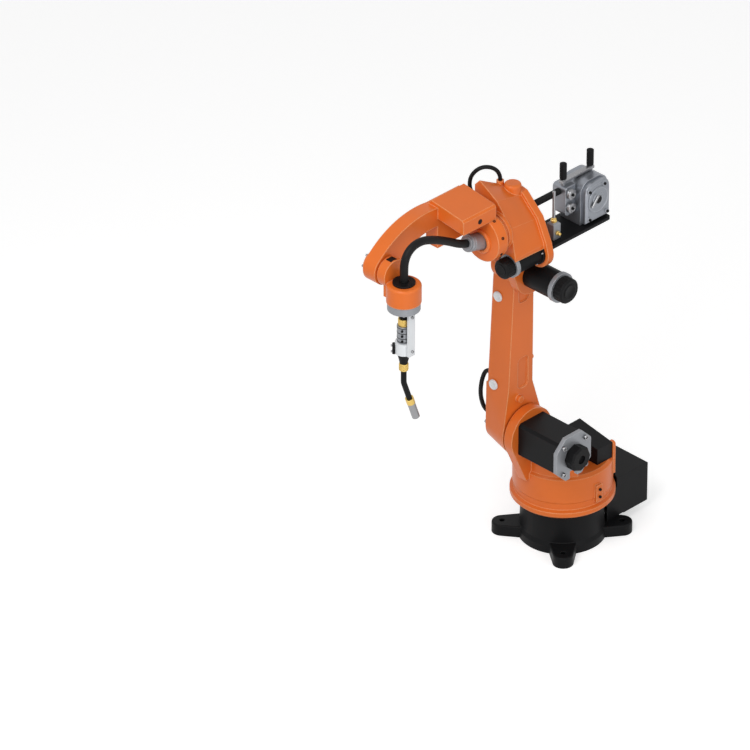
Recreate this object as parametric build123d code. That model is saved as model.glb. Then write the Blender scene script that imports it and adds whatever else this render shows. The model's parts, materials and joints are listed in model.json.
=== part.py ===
from build123d import *
import math
import os

# Frame: +X is the way the arm points, +Y its left side, +Z up.
# The origin is on the turning axis of the base, at floor level. Millimetres.

# Joint axes
J2_X = 150.0
J2_Z = 430.0
LOWER_ARM_LENGTH = 580.0
J4_RISE = 218.0
FOREARM_REACH = 556.0
J3_X = J2_X
J3_Z = J2_Z + LOWER_ARM_LENGTH
J4_Z = J3_Z + J4_RISE
WRIST_X = J3_X + FOREARM_REACH

# Gaps
RUN_GAP = 0.5
SIDE_GAP = 6.0
OVERLAP = 1.0

# Base
BASE_R = 134.0
BASE_H = 148.0
BASE_FLARE = 6.0
BASE_FLARE_H = 26.0
BASE_FLARE_TAPER = 14.0
BASE_TOP_SHRINK = 4.0
FOOT_BOLT_R = 188.0
FOOT_W = 66.0
FOOT_ROOT_W = 88.0
FOOT_T = 38.0
FOOT_REACH = FOOT_BOLT_R + FOOT_W / 2
FOOT_HOLE_R = 9.0
FOOT_COUNT = 4
FOOT_START_ANGLE = 45.0
FOOT_ROOT_L = 20.0
FOOT_EDGE_R = 5.0
FOOT_CLEARANCE = 3.0
BOX_REAR_X = -282.0
BOX_HALF_W = 105.0
BOX_BOTTOM_Z = 36.0
BOX_TOP_Z = 178.0
BOX_LID_CUT = 8.0
BOX_SINK = 60.0
LINK_L = 30.0
LINK_HALF_W = 50.0
LINK_H = 80.0
SOCKET_R = 21.0
SOCKET_T = 16.0
SOCKET_PITCH = 62.0
SOCKET_WALL = 5.0

# Turret
TURRET_R = 166.0
TURRET_RIM_H = 20.0
TURRET_RIM_W = 12.0
TURRET_BAND_SETBACK = 8.0
RIM_CUT = 6.0
BAND_RISE = 26.0
BAND_TAPER = 8.0
DECK_CUT = 10.0
TURRET_DRUM_R = TURRET_R - TURRET_RIM_W
TURRET_BAND_R = TURRET_R - TURRET_BAND_SETBACK
TURRET_DECK_Z = 295.0
FIN_T = 10.0
FIN_TOP_Z = 350.0
FIN_X = -84.0
FIN_L = 24.0
FIN_LOW_Z = 235.0
BOSS_ANGLE = 88.0
BOSS_W = 26.0
BOSS_LOW_Z = 186.0
BOSS_TOP_Z = 247.0
BOSS_SINK = 20.0
BOSS_SETBACK = 1.0
CHEEK_R = 88.0
CHEEK_T = 33.0
CHEEK_FOOT_L = 172.0
CHEEK_FOOT_H = 20.0
WEB_W = 130.0
WEB_REACH = 80.0
WEB_SINK = 12.0
WEB_EDGE = 4.0
BLOCK_X0 = -82.0
BLOCK_L = 66.0
BLOCK_Y0 = -15.0
BLOCK_W = 148.0
BLOCK_H = 82.0
BLOCK_FALL = 26.0
BLOCK_CHAMFER = 8.0

# Shoulder motor
M2_SIZE = 118.0
M2_CHAMFER = 9.0
M2_LENGTH = 168.0
M2_PLATE_T = 14.0
M2_PLATE_SIZE = 152.0
M2_PLATE_CUT = 40.0
M2_NOTCH_W = 34.0
M2_NOTCH_H = 26.0
M2_CAP_R = 42.0
M2_CAP_L = 34.0
M2_CAP_BORE_R = 15.0
M2_CAP_BORE_L = 8.0
M2_CAP_SIDES = 8
CAP_CHAMFER = 5.0

# Lower arm
ARM_PLANE_Y = -80.0
ARM_W = 96.0
ARM_DEPTH = 84.0
ARM_DEPTH_LOW = 106.0
ARM_LOW_SHIFT = 11.0
ARM_WAIST_H = 20.0
ARM_SIDE_Y = ARM_PLANE_Y + ARM_W / 2
ARM_HUB_R = 88.0
ARM_HUB_FAR_R = 66.0
ARM_FOOT_RISE = 150.0
ARM_BOSS_R = 11.0
ARM_BOSS_L = 15.0
ARM_BOSS_SHIFT = 21.0
ARM_BOSS_RISE = 122.0
ARM_HEAD_R = 56.0
ARM_EDGE_R = 12.0
ARM_BEARING_R = 50.0
ARM_POCKET_T = 5.0
ARM_POCKET_W = 46.0
ARM_POCKET_R = 16.0
ARM_POCKET_LOW_RISE = 152.0
ARM_POCKET_LOW_L = 110.0
ARM_POCKET_HIGH_DROP = 62.0
ARM_POCKET_HIGH_L = 56.0
PLUG_R = 17.0
PLUG_T = 5.0
PLUG_CHAMFER = 2.0
PLUG_OFFSET = 15.0
PLUG_LOW_RISE = 163.0
PLUG_HIGH_DROP = 105.0
HUB_COVER_T = 10.0
HUB_COVER_INSET = 8.0
HUB_COVER_CHAMFER = 4.0
ARM_CABLE_R = 7.0
ARM_GLAND_R = 14.0
ARM_GLAND_L = 12.0
ARM_GLAND_SHIFT = 30.0
ARM_GLAND_RISE = 176.0

# Elbow
ELBOW_REAR_X = 153.0
ELBOW_FRONT_X = 300.0
ELBOW_BOTTOM = 120.0
ELBOW_FAR_Y = -100.0
# Heights over the roll axis and offsets from it: crown, two corners of the slanted side, near side
ELBOW_REAR_SECTION = (72.0, (-24.0, 62.0), (40.0, 2.0), 76.0)
ELBOW_FRONT_SECTION = (140.0, (-6.0, 96.0), (54.0, 25.0), 74.0)
ELBOW_CROWN_FALL = 22.0
ELBOW_CROWN_CUT = 20.0
ELBOW_NEAR_TOP = 46.0
ELBOW_NEAR_LOW = 24.0
ELBOW_NEAR_CUT = 18.0
FLANGE_T = 24.0
FLANGE_GROW = 10.0
HOOK_T = 17.0
LOBE_R = 70.0
LOBE_T = 30.0
LOBE_ROOT_L = 97.0
LOBE_ROOT_H = 20.0
LOBE_ROOT_SHIFT = 14.0
LOBE_NOTCH_GAP = 1.0
NECK_R = 62.0
NECK_L = 34.0
NECK_GROOVE_X = 13.6
NECK_GROOVE_W = 8.5
NECK_GROOVE_T = 6.0
BUMP_R = 27.0
BUMP_TOP = 99.0
BUMP_X = 188.0
BUMP_Y = -48.0
BUMP_EDGE_R = 9.0
LOOP_BOSS_R = 12.0

# Elbow and roll motors
M3_R = 45.0
M3_LENGTH = 110.0
M3_BAND_T = 14.0
M3_CAP_R = 40.0
M3_CAP_L = 34.0
M4_R = 34.0
M4_LENGTH = 106.0
M4_BAND_T = 14.0
M4_CAP_R = 31.0
M4_CAP_L = 35.0
M4_Y = 44.0
M4_DROP = 113.0
MOTOR_BAND_GROW = 4.0
MOTOR_CLEARANCE = 2.0

# Wire feeder
FEED_PLATE_DROP = 120.0
FEED_PLATE_Z = J4_Z - FEED_PLATE_DROP
FEED_PLATE_T = 10.0
FEED_PLATE_HALF_W = 62.0
FEED_PLATE_REAR_X = -136.0
FEED_PLATE_R = 12.0
FEED_BODY_X = -26.0
FEED_BODY_L = 118.0
FEED_BODY_H = 146.0
FEED_BODY_Y0 = -50.0
FEED_BODY_W = 84.0
FEED_BODY_R = 40.0
FEED_COVER_T = 20.0
FEED_COVER_INSET = 6.0
FEED_COVER_CHAMFER = 6.0
DRIVE_L = 44.0
DRIVE_W = 54.0
DRIVE_RISE = 40.0
DRIVE_TOP_DROP = 6.0
DRIVE_H = FEED_BODY_H - DRIVE_RISE - DRIVE_TOP_DROP
DRIVE_SETBACK = 8.0
DRIVE_EDGE_R = 12.0
POST_R = 7.0
POST_H = 17.0
POST_Y = -10.0
POST_FRONT_X = 6.0
POST_REAR_X = -113.0
GRIP_R = 11.0
GRIP_L = 56.0
GRIP_EDGE_R = 8.0
VALVE_SIZE = 30.0
VALVE_H = 56.0
VALVE_Y = 25.0
VALVE_SETBACK = 71.0
VALVE_CHAMFER = 5.0
ROD_R = 5.0
HOSE_R = 11.0
HOSE_RISE = 11.0
HOSE_Y = -15.0

# Forearm and wrist
FORE_DRUM_R = 76.0
FORE_DRUM_L = 40.0
ROOF_TOP = 138.0
ROOF_NEAR_TOP = 120.0
ROOF_NEAR_Y = 34.0
ROOF_T = 50.0
ROOF_SETBACK = 10.0
ROOF_FAR_FALL = 24.0
ROOF_FAR_CUT = 22.0
ROOF_NEAR_FALL = 8.0
ROOF_NEAR_CUT = 6.0
ROOF_SOFFIT_DROP = 4.0
LOOP_CABLE_R = 6.5
LOOP_START_X = 206.0
LOOP_START_Y = -84.0
LOOP_START_RISE = 100.0
LOOP_END_X = 280.0
LOOP_END_RISE = 66.0
FORE_LENGTH = 141.0
HORN_T = 50.0
HORN_Y = -100.0
HORN_ARCH_TOP = 52.0
HORN_BACK_TOP = 122.0
HORN_ROOT_DROP = 20.0
HORN_LOW_DROP = 4.0
HORN_HIGH_X = 30.0
HORN_HIGH_Z = 40.0
HORN_UNDER_X = 75.0
HORN_OVER_X = 143.0
HORN_OVER_FALL = 15.0
GLAND_TILT = 15.0
GLAND_SINK = 8.0
HORN_END_R = 50.0
HORN_COVER_T = 12.0
HORN_COVER_INSET = 2.0
HORN_COVER_CHAMFER = 6.0
GLAND_R = 27.0
GLAND_L = 62.0
GLAND_ROOT_L = 15.5
TORCH_CABLE_R = 13.0
KNUCKLE_R = 46.0
KNUCKLE_T = 32.0
KNUCKLE_BEARING_R = 38.0
RING_R = 54.0
RING_TOP = -16.0
RING_H = 62.0
RING_EDGE_R = 8.0
RING_BORE_RISE = 60.0
BRIDGE_HALF_W = 34.0
BRIDGE_INSET = 8.0
GROMMET_R = 30.0
GROMMET_H = 14.0
GROMMET_LIP_H = 6.0
GROMMET_LIP_W = 5.0
GROMMET_GAP = 1.0

# Tool flange and torch
FLANGE_R = 51.0
TOOL_FLANGE_T = 26.0
SPACER_R = 20.0
SPACER_T = 14.0
SOCKET_NUT_R = 15.0
SOCKET_NUT_T = 20.0
COLLAR_R = 17.0
COLLAR_T = 24.0
BODY_R = 21.0
BODY_L = 58.0
CLAMP_R = 27.0
CLAMP_T = 40.0
CONE_L = 38.0
CONE_END_GROW = 3.0
LOWER_COLLAR_GROW = 5.0
NECK_TUBE_R = 9.0
NECK_DROP = 46.0
NECK_LEAN = 70.0
NECK_BEND = 20.0
NECK_BEND_R = 41.4
NOZZLE_R = 12.5
NOZZLE_L = 62.0
NOZZLE_WALL = 2.5
NOZZLE_BORE_L = 37.2
TIP_COLLAR_R = 13.5
TIP_COLLAR_T = 22.0
BRACKET_W = 26.0
BRACKET_T = 8.0

# Cords: the share of the shorter run that an arc may take at each end
ARC_SHARE = 0.45

ALL = {}


def keep(name, shape):
    """Remember a finished piece under the name of its node."""
    ALL[name] = shape
    return shape


def join_nodes(name, *members):
    """Put like pieces that don't touch into one node."""
    keep(name, Compound([ALL.pop(member) for member in members]))


def along_x(x0, length, y, z, radius):
    """A round bar that starts at x0 and runs towards +X."""
    return Pos(x0 + length / 2, y, z) * Rot(0, 90, 0) * Cylinder(radius, length)


def along_y(y0, length, x, z, radius):
    """A round bar that starts at y0 and runs towards +Y."""
    return Pos(x, y0 + length / 2, z) * Rot(90, 0, 0) * Cylinder(radius, length)


def along_z(z0, length, x, y, radius):
    """A round bar that starts at z0 and runs upwards."""
    return Pos(x, y, z0 + length / 2) * Cylinder(radius, length)


def block(x0, x1, y0, y1, z0, z1):
    """A box between two corners."""
    middle = Pos((x0 + x1) / 2, (y0 + y1) / 2, (z0 + z1) / 2)
    return middle * Box(x1 - x0, y1 - y0, z1 - z0)


def on_side(y0, length, outline):
    """Push an outline, drawn as X and Z, from y0 towards +Y."""
    plane = Plane(origin=(0, y0, 0), x_dir=(1, 0, 0), z_dir=(0, -1, 0))
    return extrude(plane * outline, -length)


def on_front(x0, length, outline):
    """Push an outline, drawn as Y and Z, from x0 towards +X."""
    plane = Plane(origin=(x0, 0, 0), x_dir=(0, 1, 0), z_dir=(1, 0, 0))
    return extrude(plane * outline, length)


def cord_route(points):
    """Straight runs joined by arcs as large as the runs allow."""
    vectors = [Vector(*p) for p in points]
    radii = []
    for before, corner, after in zip(vectors, vectors[1:], vectors[2:]):
        turn = math.radians((corner - before).get_angle(after - corner))
        shorter = min((corner - before).length, (after - corner).length)
        radii.append(ARC_SHARE * shorter / math.tan(turn / 2))
    return FilletPolyline(*vectors, radius=radii), radii


def cord(name, points, radius):
    """A round cord along a route of chosen points."""
    path, radii = cord_route(points)
    tube = sweep(Plane(path @ 0, z_dir=path % 0) * Circle(radius), path=path)
    print(name, "radii", [round(r) for r in radii], "length", round(path.length),
          "volume share", round(tube.volume / (math.pi * radius ** 2 * path.length), 4))
    return keep(name, tube)


def base_drum():
    """The round body of the base, a little wider at the floor."""
    flare_r = BASE_R + BASE_FLARE
    profile = Polyline((0, 0), (flare_r, 0), (flare_r, BASE_FLARE_H),
                       (BASE_R, BASE_FLARE_H + BASE_FLARE_TAPER),
                       (BASE_R - BASE_TOP_SHRINK, BASE_H), (0, BASE_H), close=True)
    return revolve(Plane.XZ * make_face(profile), Axis.Z)


def base_casting():
    """The fixed drum with four bolt-down feet on its diagonals."""
    tip = FOOT_REACH - FOOT_W / 2
    foot_root = Rectangle(FOOT_ROOT_L, FOOT_ROOT_W).moved(Pos(BASE_R - FOOT_ROOT_L, 0))
    foot_outline = make_hull(Circle(FOOT_W / 2).moved(Pos(tip, 0)).edges() + foot_root.edges())
    foot = extrude(foot_outline, FOOT_T)
    foot = fillet(foot.edges().group_by(Axis.Z)[-1], FOOT_EDGE_R)
    foot -= along_z(0, FOOT_T, FOOT_BOLT_R, 0, FOOT_HOLE_R)
    body = base_drum()
    for i in range(FOOT_COUNT):
        body += Rot(0, 0, FOOT_START_ANGLE + i * 360 / FOOT_COUNT) * foot
    return keep("base_casting", body.solid())


def base_connector_box():
    """The plug box behind the base, with a sloped lid and two round sockets at its back."""
    front = -BASE_R + BOX_SINK
    side = make_face(Polyline((front, BOX_BOTTOM_Z), (BOX_REAR_X, BOX_BOTTOM_Z),
                              (BOX_REAR_X, BOX_TOP_Z - BOX_LID_CUT), (BOX_REAR_X + BOX_LID_CUT, BOX_TOP_Z),
                              (front, BOX_TOP_Z), close=True))
    box = on_side(-BOX_HALF_W, 2 * BOX_HALF_W, side)
    box = fillet(box.edges().filter_by(Axis.Z).group_by(Axis.X)[0], BOX_LID_CUT)
    box -= along_z(0, 2 * BOX_TOP_Z, 0, 0, BASE_R + BASE_FLARE + RUN_GAP)
    box -= along_z(BASE_H, BOX_TOP_Z, 0, 0, TURRET_R + SIDE_GAP)
    room_half = FOOT_ROOT_W / 2 + FOOT_CLEARANCE
    for i in range(FOOT_COUNT):
        room = block(0, FOOT_REACH, -room_half, room_half, 0, FOOT_T + RUN_GAP)
        box -= Rot(0, 0, FOOT_START_ANGLE + i * 360 / FOOT_COUNT) * room
    link = block(-BASE_R - LINK_L, 0, -LINK_HALF_W, LINK_HALF_W, BOX_BOTTOM_Z, BOX_BOTTOM_Z + LINK_H)
    box += link - base_drum()
    keep("base_connector_box", box.solids().sort_by(SortBy.VOLUME)[-1])
    sockets = []
    for side_sign in (-1, 1):
        y = side_sign * SOCKET_PITCH / 2
        z = (BOX_BOTTOM_Z + BOX_TOP_Z) / 2
        ring = along_x(BOX_REAR_X - SOCKET_T, SOCKET_T, y, z, SOCKET_R)
        ring -= along_x(BOX_REAR_X - SOCKET_T, SOCKET_T - SOCKET_WALL, y, z, SOCKET_R - SOCKET_WALL)
        sockets.append(ring.solid())
    keep("base_sockets", Compound(sockets))


def turret_casting():
    """The turning drum with a rim, a banded wall, a rear fin and the shoulder cheek."""
    z0 = BASE_H + RUN_GAP
    rim_top = z0 + TURRET_RIM_H
    profile = Polyline((0, z0), (TURRET_R - RIM_CUT, z0), (TURRET_R, z0 + RIM_CUT), (TURRET_R, rim_top),
                       (TURRET_DRUM_R, rim_top + RIM_CUT), (TURRET_DRUM_R, rim_top + BAND_RISE),
                       (TURRET_BAND_R, rim_top + BAND_RISE + BAND_TAPER),
                       (TURRET_BAND_R, TURRET_DECK_Z - DECK_CUT), (TURRET_BAND_R - DECK_CUT, TURRET_DECK_Z),
                       (0, TURRET_DECK_Z), close=True)
    drum = revolve(Plane.XZ * make_face(profile), Axis.Z)
    cheek_y = ARM_SIDE_Y + SIDE_GAP
    foot = Rectangle(CHEEK_FOOT_L, CHEEK_FOOT_H).moved(Pos(CHEEK_FOOT_L / 2, TURRET_DECK_Z - CHEEK_FOOT_H))
    cheek_outline = make_hull(Circle(CHEEK_R).moved(Pos(J2_X, J2_Z)).edges() + foot.edges())
    cheek = on_side(cheek_y, CHEEK_T, cheek_outline)
    motor_low = J2_Z - M2_SIZE / 2
    web_y = cheek_y + CHEEK_T
    web = block(J2_X - WEB_REACH, TURRET_R, web_y, web_y + WEB_W, TURRET_DECK_Z - WEB_SINK, motor_low)
    web &= along_z(0, J2_Z, 0, 0, TURRET_DRUM_R - WEB_EDGE)
    fin_end = math.sqrt(TURRET_R ** 2 - (FIN_X - FIN_T) ** 2)
    fin = block(FIN_X - FIN_T, FIN_X, fin_end - FIN_L, fin_end, FIN_LOW_Z, FIN_TOP_Z)
    fin = fillet(fin.edges().filter_by(Axis.X).group_by(Axis.Z)[-1], FIN_T)
    boss = Rot(0, 0, BOSS_ANGLE) * block(TURRET_DRUM_R - BOSS_SINK, TURRET_R - BOSS_SETBACK, -BOSS_W / 2,
                                         BOSS_W / 2, BOSS_LOW_Z, BOSS_TOP_Z)
    body = drum + cheek + web + fin + boss
    return keep("turret_casting", body.solid())


def turret_fittings():
    """The cover of the turning motor, with a lid that falls towards the left side."""
    block_end = BLOCK_Y0 + BLOCK_W
    back_outline = make_face(Polyline(
        (BLOCK_Y0, TURRET_DECK_Z), (block_end, TURRET_DECK_Z),
        (block_end, TURRET_DECK_Z + BLOCK_H - BLOCK_FALL), (BLOCK_Y0, TURRET_DECK_Z + BLOCK_H), close=True))
    cover = on_front(BLOCK_X0, BLOCK_L, back_outline)
    cover = chamfer(cover.edges().filter_by(Axis.Y, reverse=True).group_by(Axis.Z)[-1], BLOCK_CHAMFER)
    keep("turning_motor_cover", cover.solid())


def octagon(size, cut):
    """A square with its corners cut off."""
    return chamfer(Rectangle(size, size).vertices(), cut)


def shoulder_motor():
    """The big motor on the shoulder: square body, notched eight-sided end plate and cap."""
    y0 = ARM_SIDE_Y + SIDE_GAP + CHEEK_T
    here = Pos(J2_X, J2_Z)
    body = on_side(y0, M2_LENGTH, here * octagon(M2_SIZE, M2_CHAMFER))
    keep("shoulder_motor_body", body.solid())
    y1 = y0 + M2_LENGTH
    outline = octagon(M2_PLATE_SIZE, M2_PLATE_CUT)
    outline -= Pos(0, -M2_PLATE_SIZE / 2 + M2_NOTCH_H / 2) * Rectangle(M2_NOTCH_W, M2_NOTCH_H)
    plate = on_side(y1, M2_PLATE_T, here * outline)
    keep("shoulder_motor_end_plate", plate.solid())
    y2 = y1 + M2_PLATE_T
    cap = on_side(y2, M2_CAP_L, here * RegularPolygon(M2_CAP_R, M2_CAP_SIDES))
    cap = chamfer(cap.faces().sort_by(Axis.Y)[-1].edges(), CAP_CHAMFER)
    cap -= along_y(y2 + M2_CAP_L - M2_CAP_BORE_L, M2_CAP_BORE_L, J2_X, J2_Z, M2_CAP_BORE_R)
    keep("shoulder_motor_cap", cap.solid())


def lower_arm():
    """The upright link: a boxed stem between a wide shoulder hub and a round elbow head."""
    y0 = ARM_PLANE_Y - ARM_W / 2
    waist = Rectangle(ARM_DEPTH_LOW, ARM_WAIST_H).moved(Pos(J2_X + ARM_LOW_SHIFT, J2_Z + ARM_FOOT_RISE))
    stem = on_side(y0, ARM_W, make_hull(Circle(ARM_DEPTH / 2).moved(Pos(J3_X, J3_Z)).edges() + waist.edges()))
    stem += along_y(y0, ARM_W, J3_X, J3_Z, ARM_HEAD_R)
    for face in (stem.faces().sort_by(Axis.Y)[-1], stem.faces().sort_by(Axis.Y)[0]):
        stem = fillet(face.edges(), ARM_EDGE_R)
    flares = []
    for y, radius in ((y0, ARM_HUB_FAR_R), (ARM_SIDE_Y, ARM_HUB_R)):
        outline = make_hull(Circle(radius).moved(Pos(J2_X, J2_Z)).edges() + waist.edges())
        flares.append(Plane(origin=(0, y, 0), x_dir=(1, 0, 0), z_dir=(0, -1, 0)) * outline)
    body = stem + loft(flares)
    near = ARM_SIDE_Y
    for x, z in ((J2_X, J2_Z), (J3_X, J3_Z)):
        body += along_y(near - OVERLAP, OVERLAP + SIDE_GAP - RUN_GAP, x, z, ARM_BEARING_R)
    body += along_y(near - OVERLAP, ARM_BOSS_L, J2_X + ARM_BOSS_SHIFT, J2_Z + ARM_BOSS_RISE, ARM_BOSS_R)
    for z_low, length in ((J2_Z + ARM_POCKET_LOW_RISE, ARM_POCKET_LOW_L),
                          (J3_Z - ARM_POCKET_HIGH_DROP - ARM_POCKET_HIGH_L, ARM_POCKET_HIGH_L)):
        pocket = Rectangle(ARM_POCKET_W, length)
        pocket = fillet(pocket.vertices(), ARM_POCKET_R).moved(Pos(J2_X, z_low + length / 2))
        body -= on_side(near - ARM_POCKET_T, ARM_POCKET_T + OVERLAP, pocket)
    keep("lower_arm_casting", body.solid())
    plugs = []
    plug_y = ARM_PLANE_Y - PLUG_OFFSET
    for z in (J2_Z + PLUG_LOW_RISE, J3_Z - PLUG_HIGH_DROP):
        ray = along_x(J2_X, ARM_DEPTH_LOW, plug_y, z, PLUG_R)
        face_x = (ray & body).bounding_box().max.X
        plug = along_x(face_x, PLUG_T, plug_y, z, PLUG_R)
        plugs.append(chamfer(plug.edges().group_by(Axis.X)[-1], PLUG_CHAMFER).solid())
    keep("lower_arm_plugs", Compound(plugs))
    cover = along_y(y0 - HUB_COVER_T, HUB_COVER_T, J2_X, J2_Z, ARM_HUB_FAR_R - HUB_COVER_INSET)
    keep("shoulder_hub_cover", chamfer(cover.edges().group_by(Axis.Y)[0], HUB_COVER_CHAMFER).solid())
    side = y0 - ARM_GLAND_L
    gland_x = J2_X + ARM_GLAND_SHIFT
    gland_z = J2_Z + ARM_GLAND_RISE
    gland = along_y(side, ARM_GLAND_L, gland_x, gland_z, ARM_GLAND_R)
    low_gland = along_y(side - HUB_COVER_T, ARM_GLAND_L, J2_X, J2_Z, ARM_GLAND_R)
    keep("arm_cable_glands", Compound([gland.solid(), low_gland.solid()]))
    out = side - 30
    cord("arm_cable", [(gland_x, side, gland_z), (gland_x, side - 20, gland_z),
                       (gland_x + 10, out, gland_z - 34), (gland_x + 18, out, gland_z - 84),
                       (gland_x + 6, out, gland_z - 132), (gland_x - 12, out, J2_Z + 14),
                       (J2_X, side - 28, J2_Z), (J2_X, side - HUB_COVER_T, J2_Z)], ARM_CABLE_R)


def elbow_section(crown, shoulder, slant, near):
    """The elbow's section across the roll axis: a crown that falls to a broad slanted side."""
    return make_face(Polyline((ELBOW_FAR_Y, -ELBOW_BOTTOM), (ELBOW_FAR_Y, crown - ELBOW_CROWN_FALL),
                              (ELBOW_FAR_Y + ELBOW_CROWN_CUT, crown), shoulder, slant,
                              (near, -ELBOW_BOTTOM + ELBOW_NEAR_TOP), (near, -ELBOW_BOTTOM + ELBOW_NEAR_LOW),
                              (near - ELBOW_NEAR_CUT, -ELBOW_BOTTOM), close=True)).moved(Pos(0, J4_Z))


def elbow_housing():
    """The elbow casting: slanted body, rear flange round the roll motor and the joint lobe."""
    body_x = ELBOW_REAR_X + FLANGE_T
    rear = elbow_section(*ELBOW_REAR_SECTION)
    front = elbow_section(*ELBOW_FRONT_SECTION)
    planes = [Plane(origin=(x, 0, 0), x_dir=(0, 1, 0), z_dir=(1, 0, 0)) for x in (body_x, ELBOW_FRONT_X)]
    body = loft([planes[0] * rear, planes[1] * front], ruled=True)
    motor_z = J4_Z - M4_DROP
    hole_r = M4_R + MOTOR_BAND_GROW + MOTOR_CLEARANCE
    motor_hole = along_x(body_x, M4_LENGTH + M4_BAND_T + M4_CAP_L, M4_Y, motor_z, hole_r)
    hook = Circle(M4_R + HOOK_T).moved(Pos(M4_Y, motor_z))
    flange = on_front(ELBOW_REAR_X, FLANGE_T, make_hull(offset(rear, FLANGE_GROW).edges() + hook.edges()))
    lobe_y = ARM_SIDE_Y + SIDE_GAP
    lobe_root = Rectangle(LOBE_ROOT_L, LOBE_ROOT_H).moved(
        Pos((ELBOW_FRONT_X + ELBOW_REAR_X) / 2 - LOBE_ROOT_SHIFT, J4_Z - ELBOW_BOTTOM + LOBE_ROOT_H))
    lobe_end = Circle(LOBE_R).moved(Pos(J3_X, J3_Z))
    lobe = on_side(lobe_y, LOBE_T, make_hull(lobe_end.edges() + lobe_root.edges()))
    neck = along_x(ELBOW_FRONT_X, NECK_L, 0, J4_Z, NECK_R)
    groove = along_x(ELBOW_FRONT_X + NECK_GROOVE_X, NECK_GROOVE_W, 0, J4_Z, NECK_R)
    neck -= groove - along_x(ELBOW_FRONT_X, NECK_L, 0, J4_Z, NECK_R - NECK_GROOVE_T)
    bump = along_z(J4_Z, BUMP_TOP, BUMP_X, BUMP_Y, BUMP_R)
    bump = fillet(bump.edges().group_by(Axis.Z)[-1], BUMP_EDGE_R)
    boss = along_z(J4_Z, LOOP_START_RISE, LOOP_START_X, LOOP_START_Y, LOOP_BOSS_R)
    boss += along_y(ELBOW_FAR_Y - LOOP_BOSS_R, 2 * LOOP_BOSS_R, LOOP_END_X, J4_Z + LOOP_END_RISE, LOOP_BOSS_R)
    whole = body + flange + lobe + neck + bump + boss - motor_hole
    return keep("elbow_housing", whole.solid())


def motor(name, start, place, sizes):
    """A round motor: black body, pale band and black end cap, one behind the other."""
    radius, length, band_t, cap_r, cap_l = sizes
    body = place(start, length, radius)
    band = place(start + length, band_t, radius + MOTOR_BAND_GROW)
    cap = place(start + length + band_t, cap_l, cap_r)
    outer_end = cap.faces().sort_by(lambda face: face.center().X + face.center().Y)[-1]
    cap = chamfer(outer_end.edges(), CAP_CHAMFER)
    keep(name + "_body", body.solid())
    keep(name + "_band", band.solid())
    keep(name + "_cap", cap.solid())


def elbow_motors():
    lobe_end = ARM_SIDE_Y + SIDE_GAP + LOBE_T
    motor("elbow_motor", lobe_end, lambda s, l, r: along_y(s, l, J3_X, J3_Z, r),
          (M3_R, M3_LENGTH, M3_BAND_T, M3_CAP_R, M3_CAP_L))
    motor("roll_motor", ELBOW_REAR_X + FLANGE_T, lambda s, l, r: along_x(s, l, M4_Y, J4_Z - M4_DROP, r),
          (M4_R, M4_LENGTH, M4_BAND_T, M4_CAP_R, M4_CAP_L))
    join_nodes("motor_bands", "elbow_motor_band", "roll_motor_band")


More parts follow.
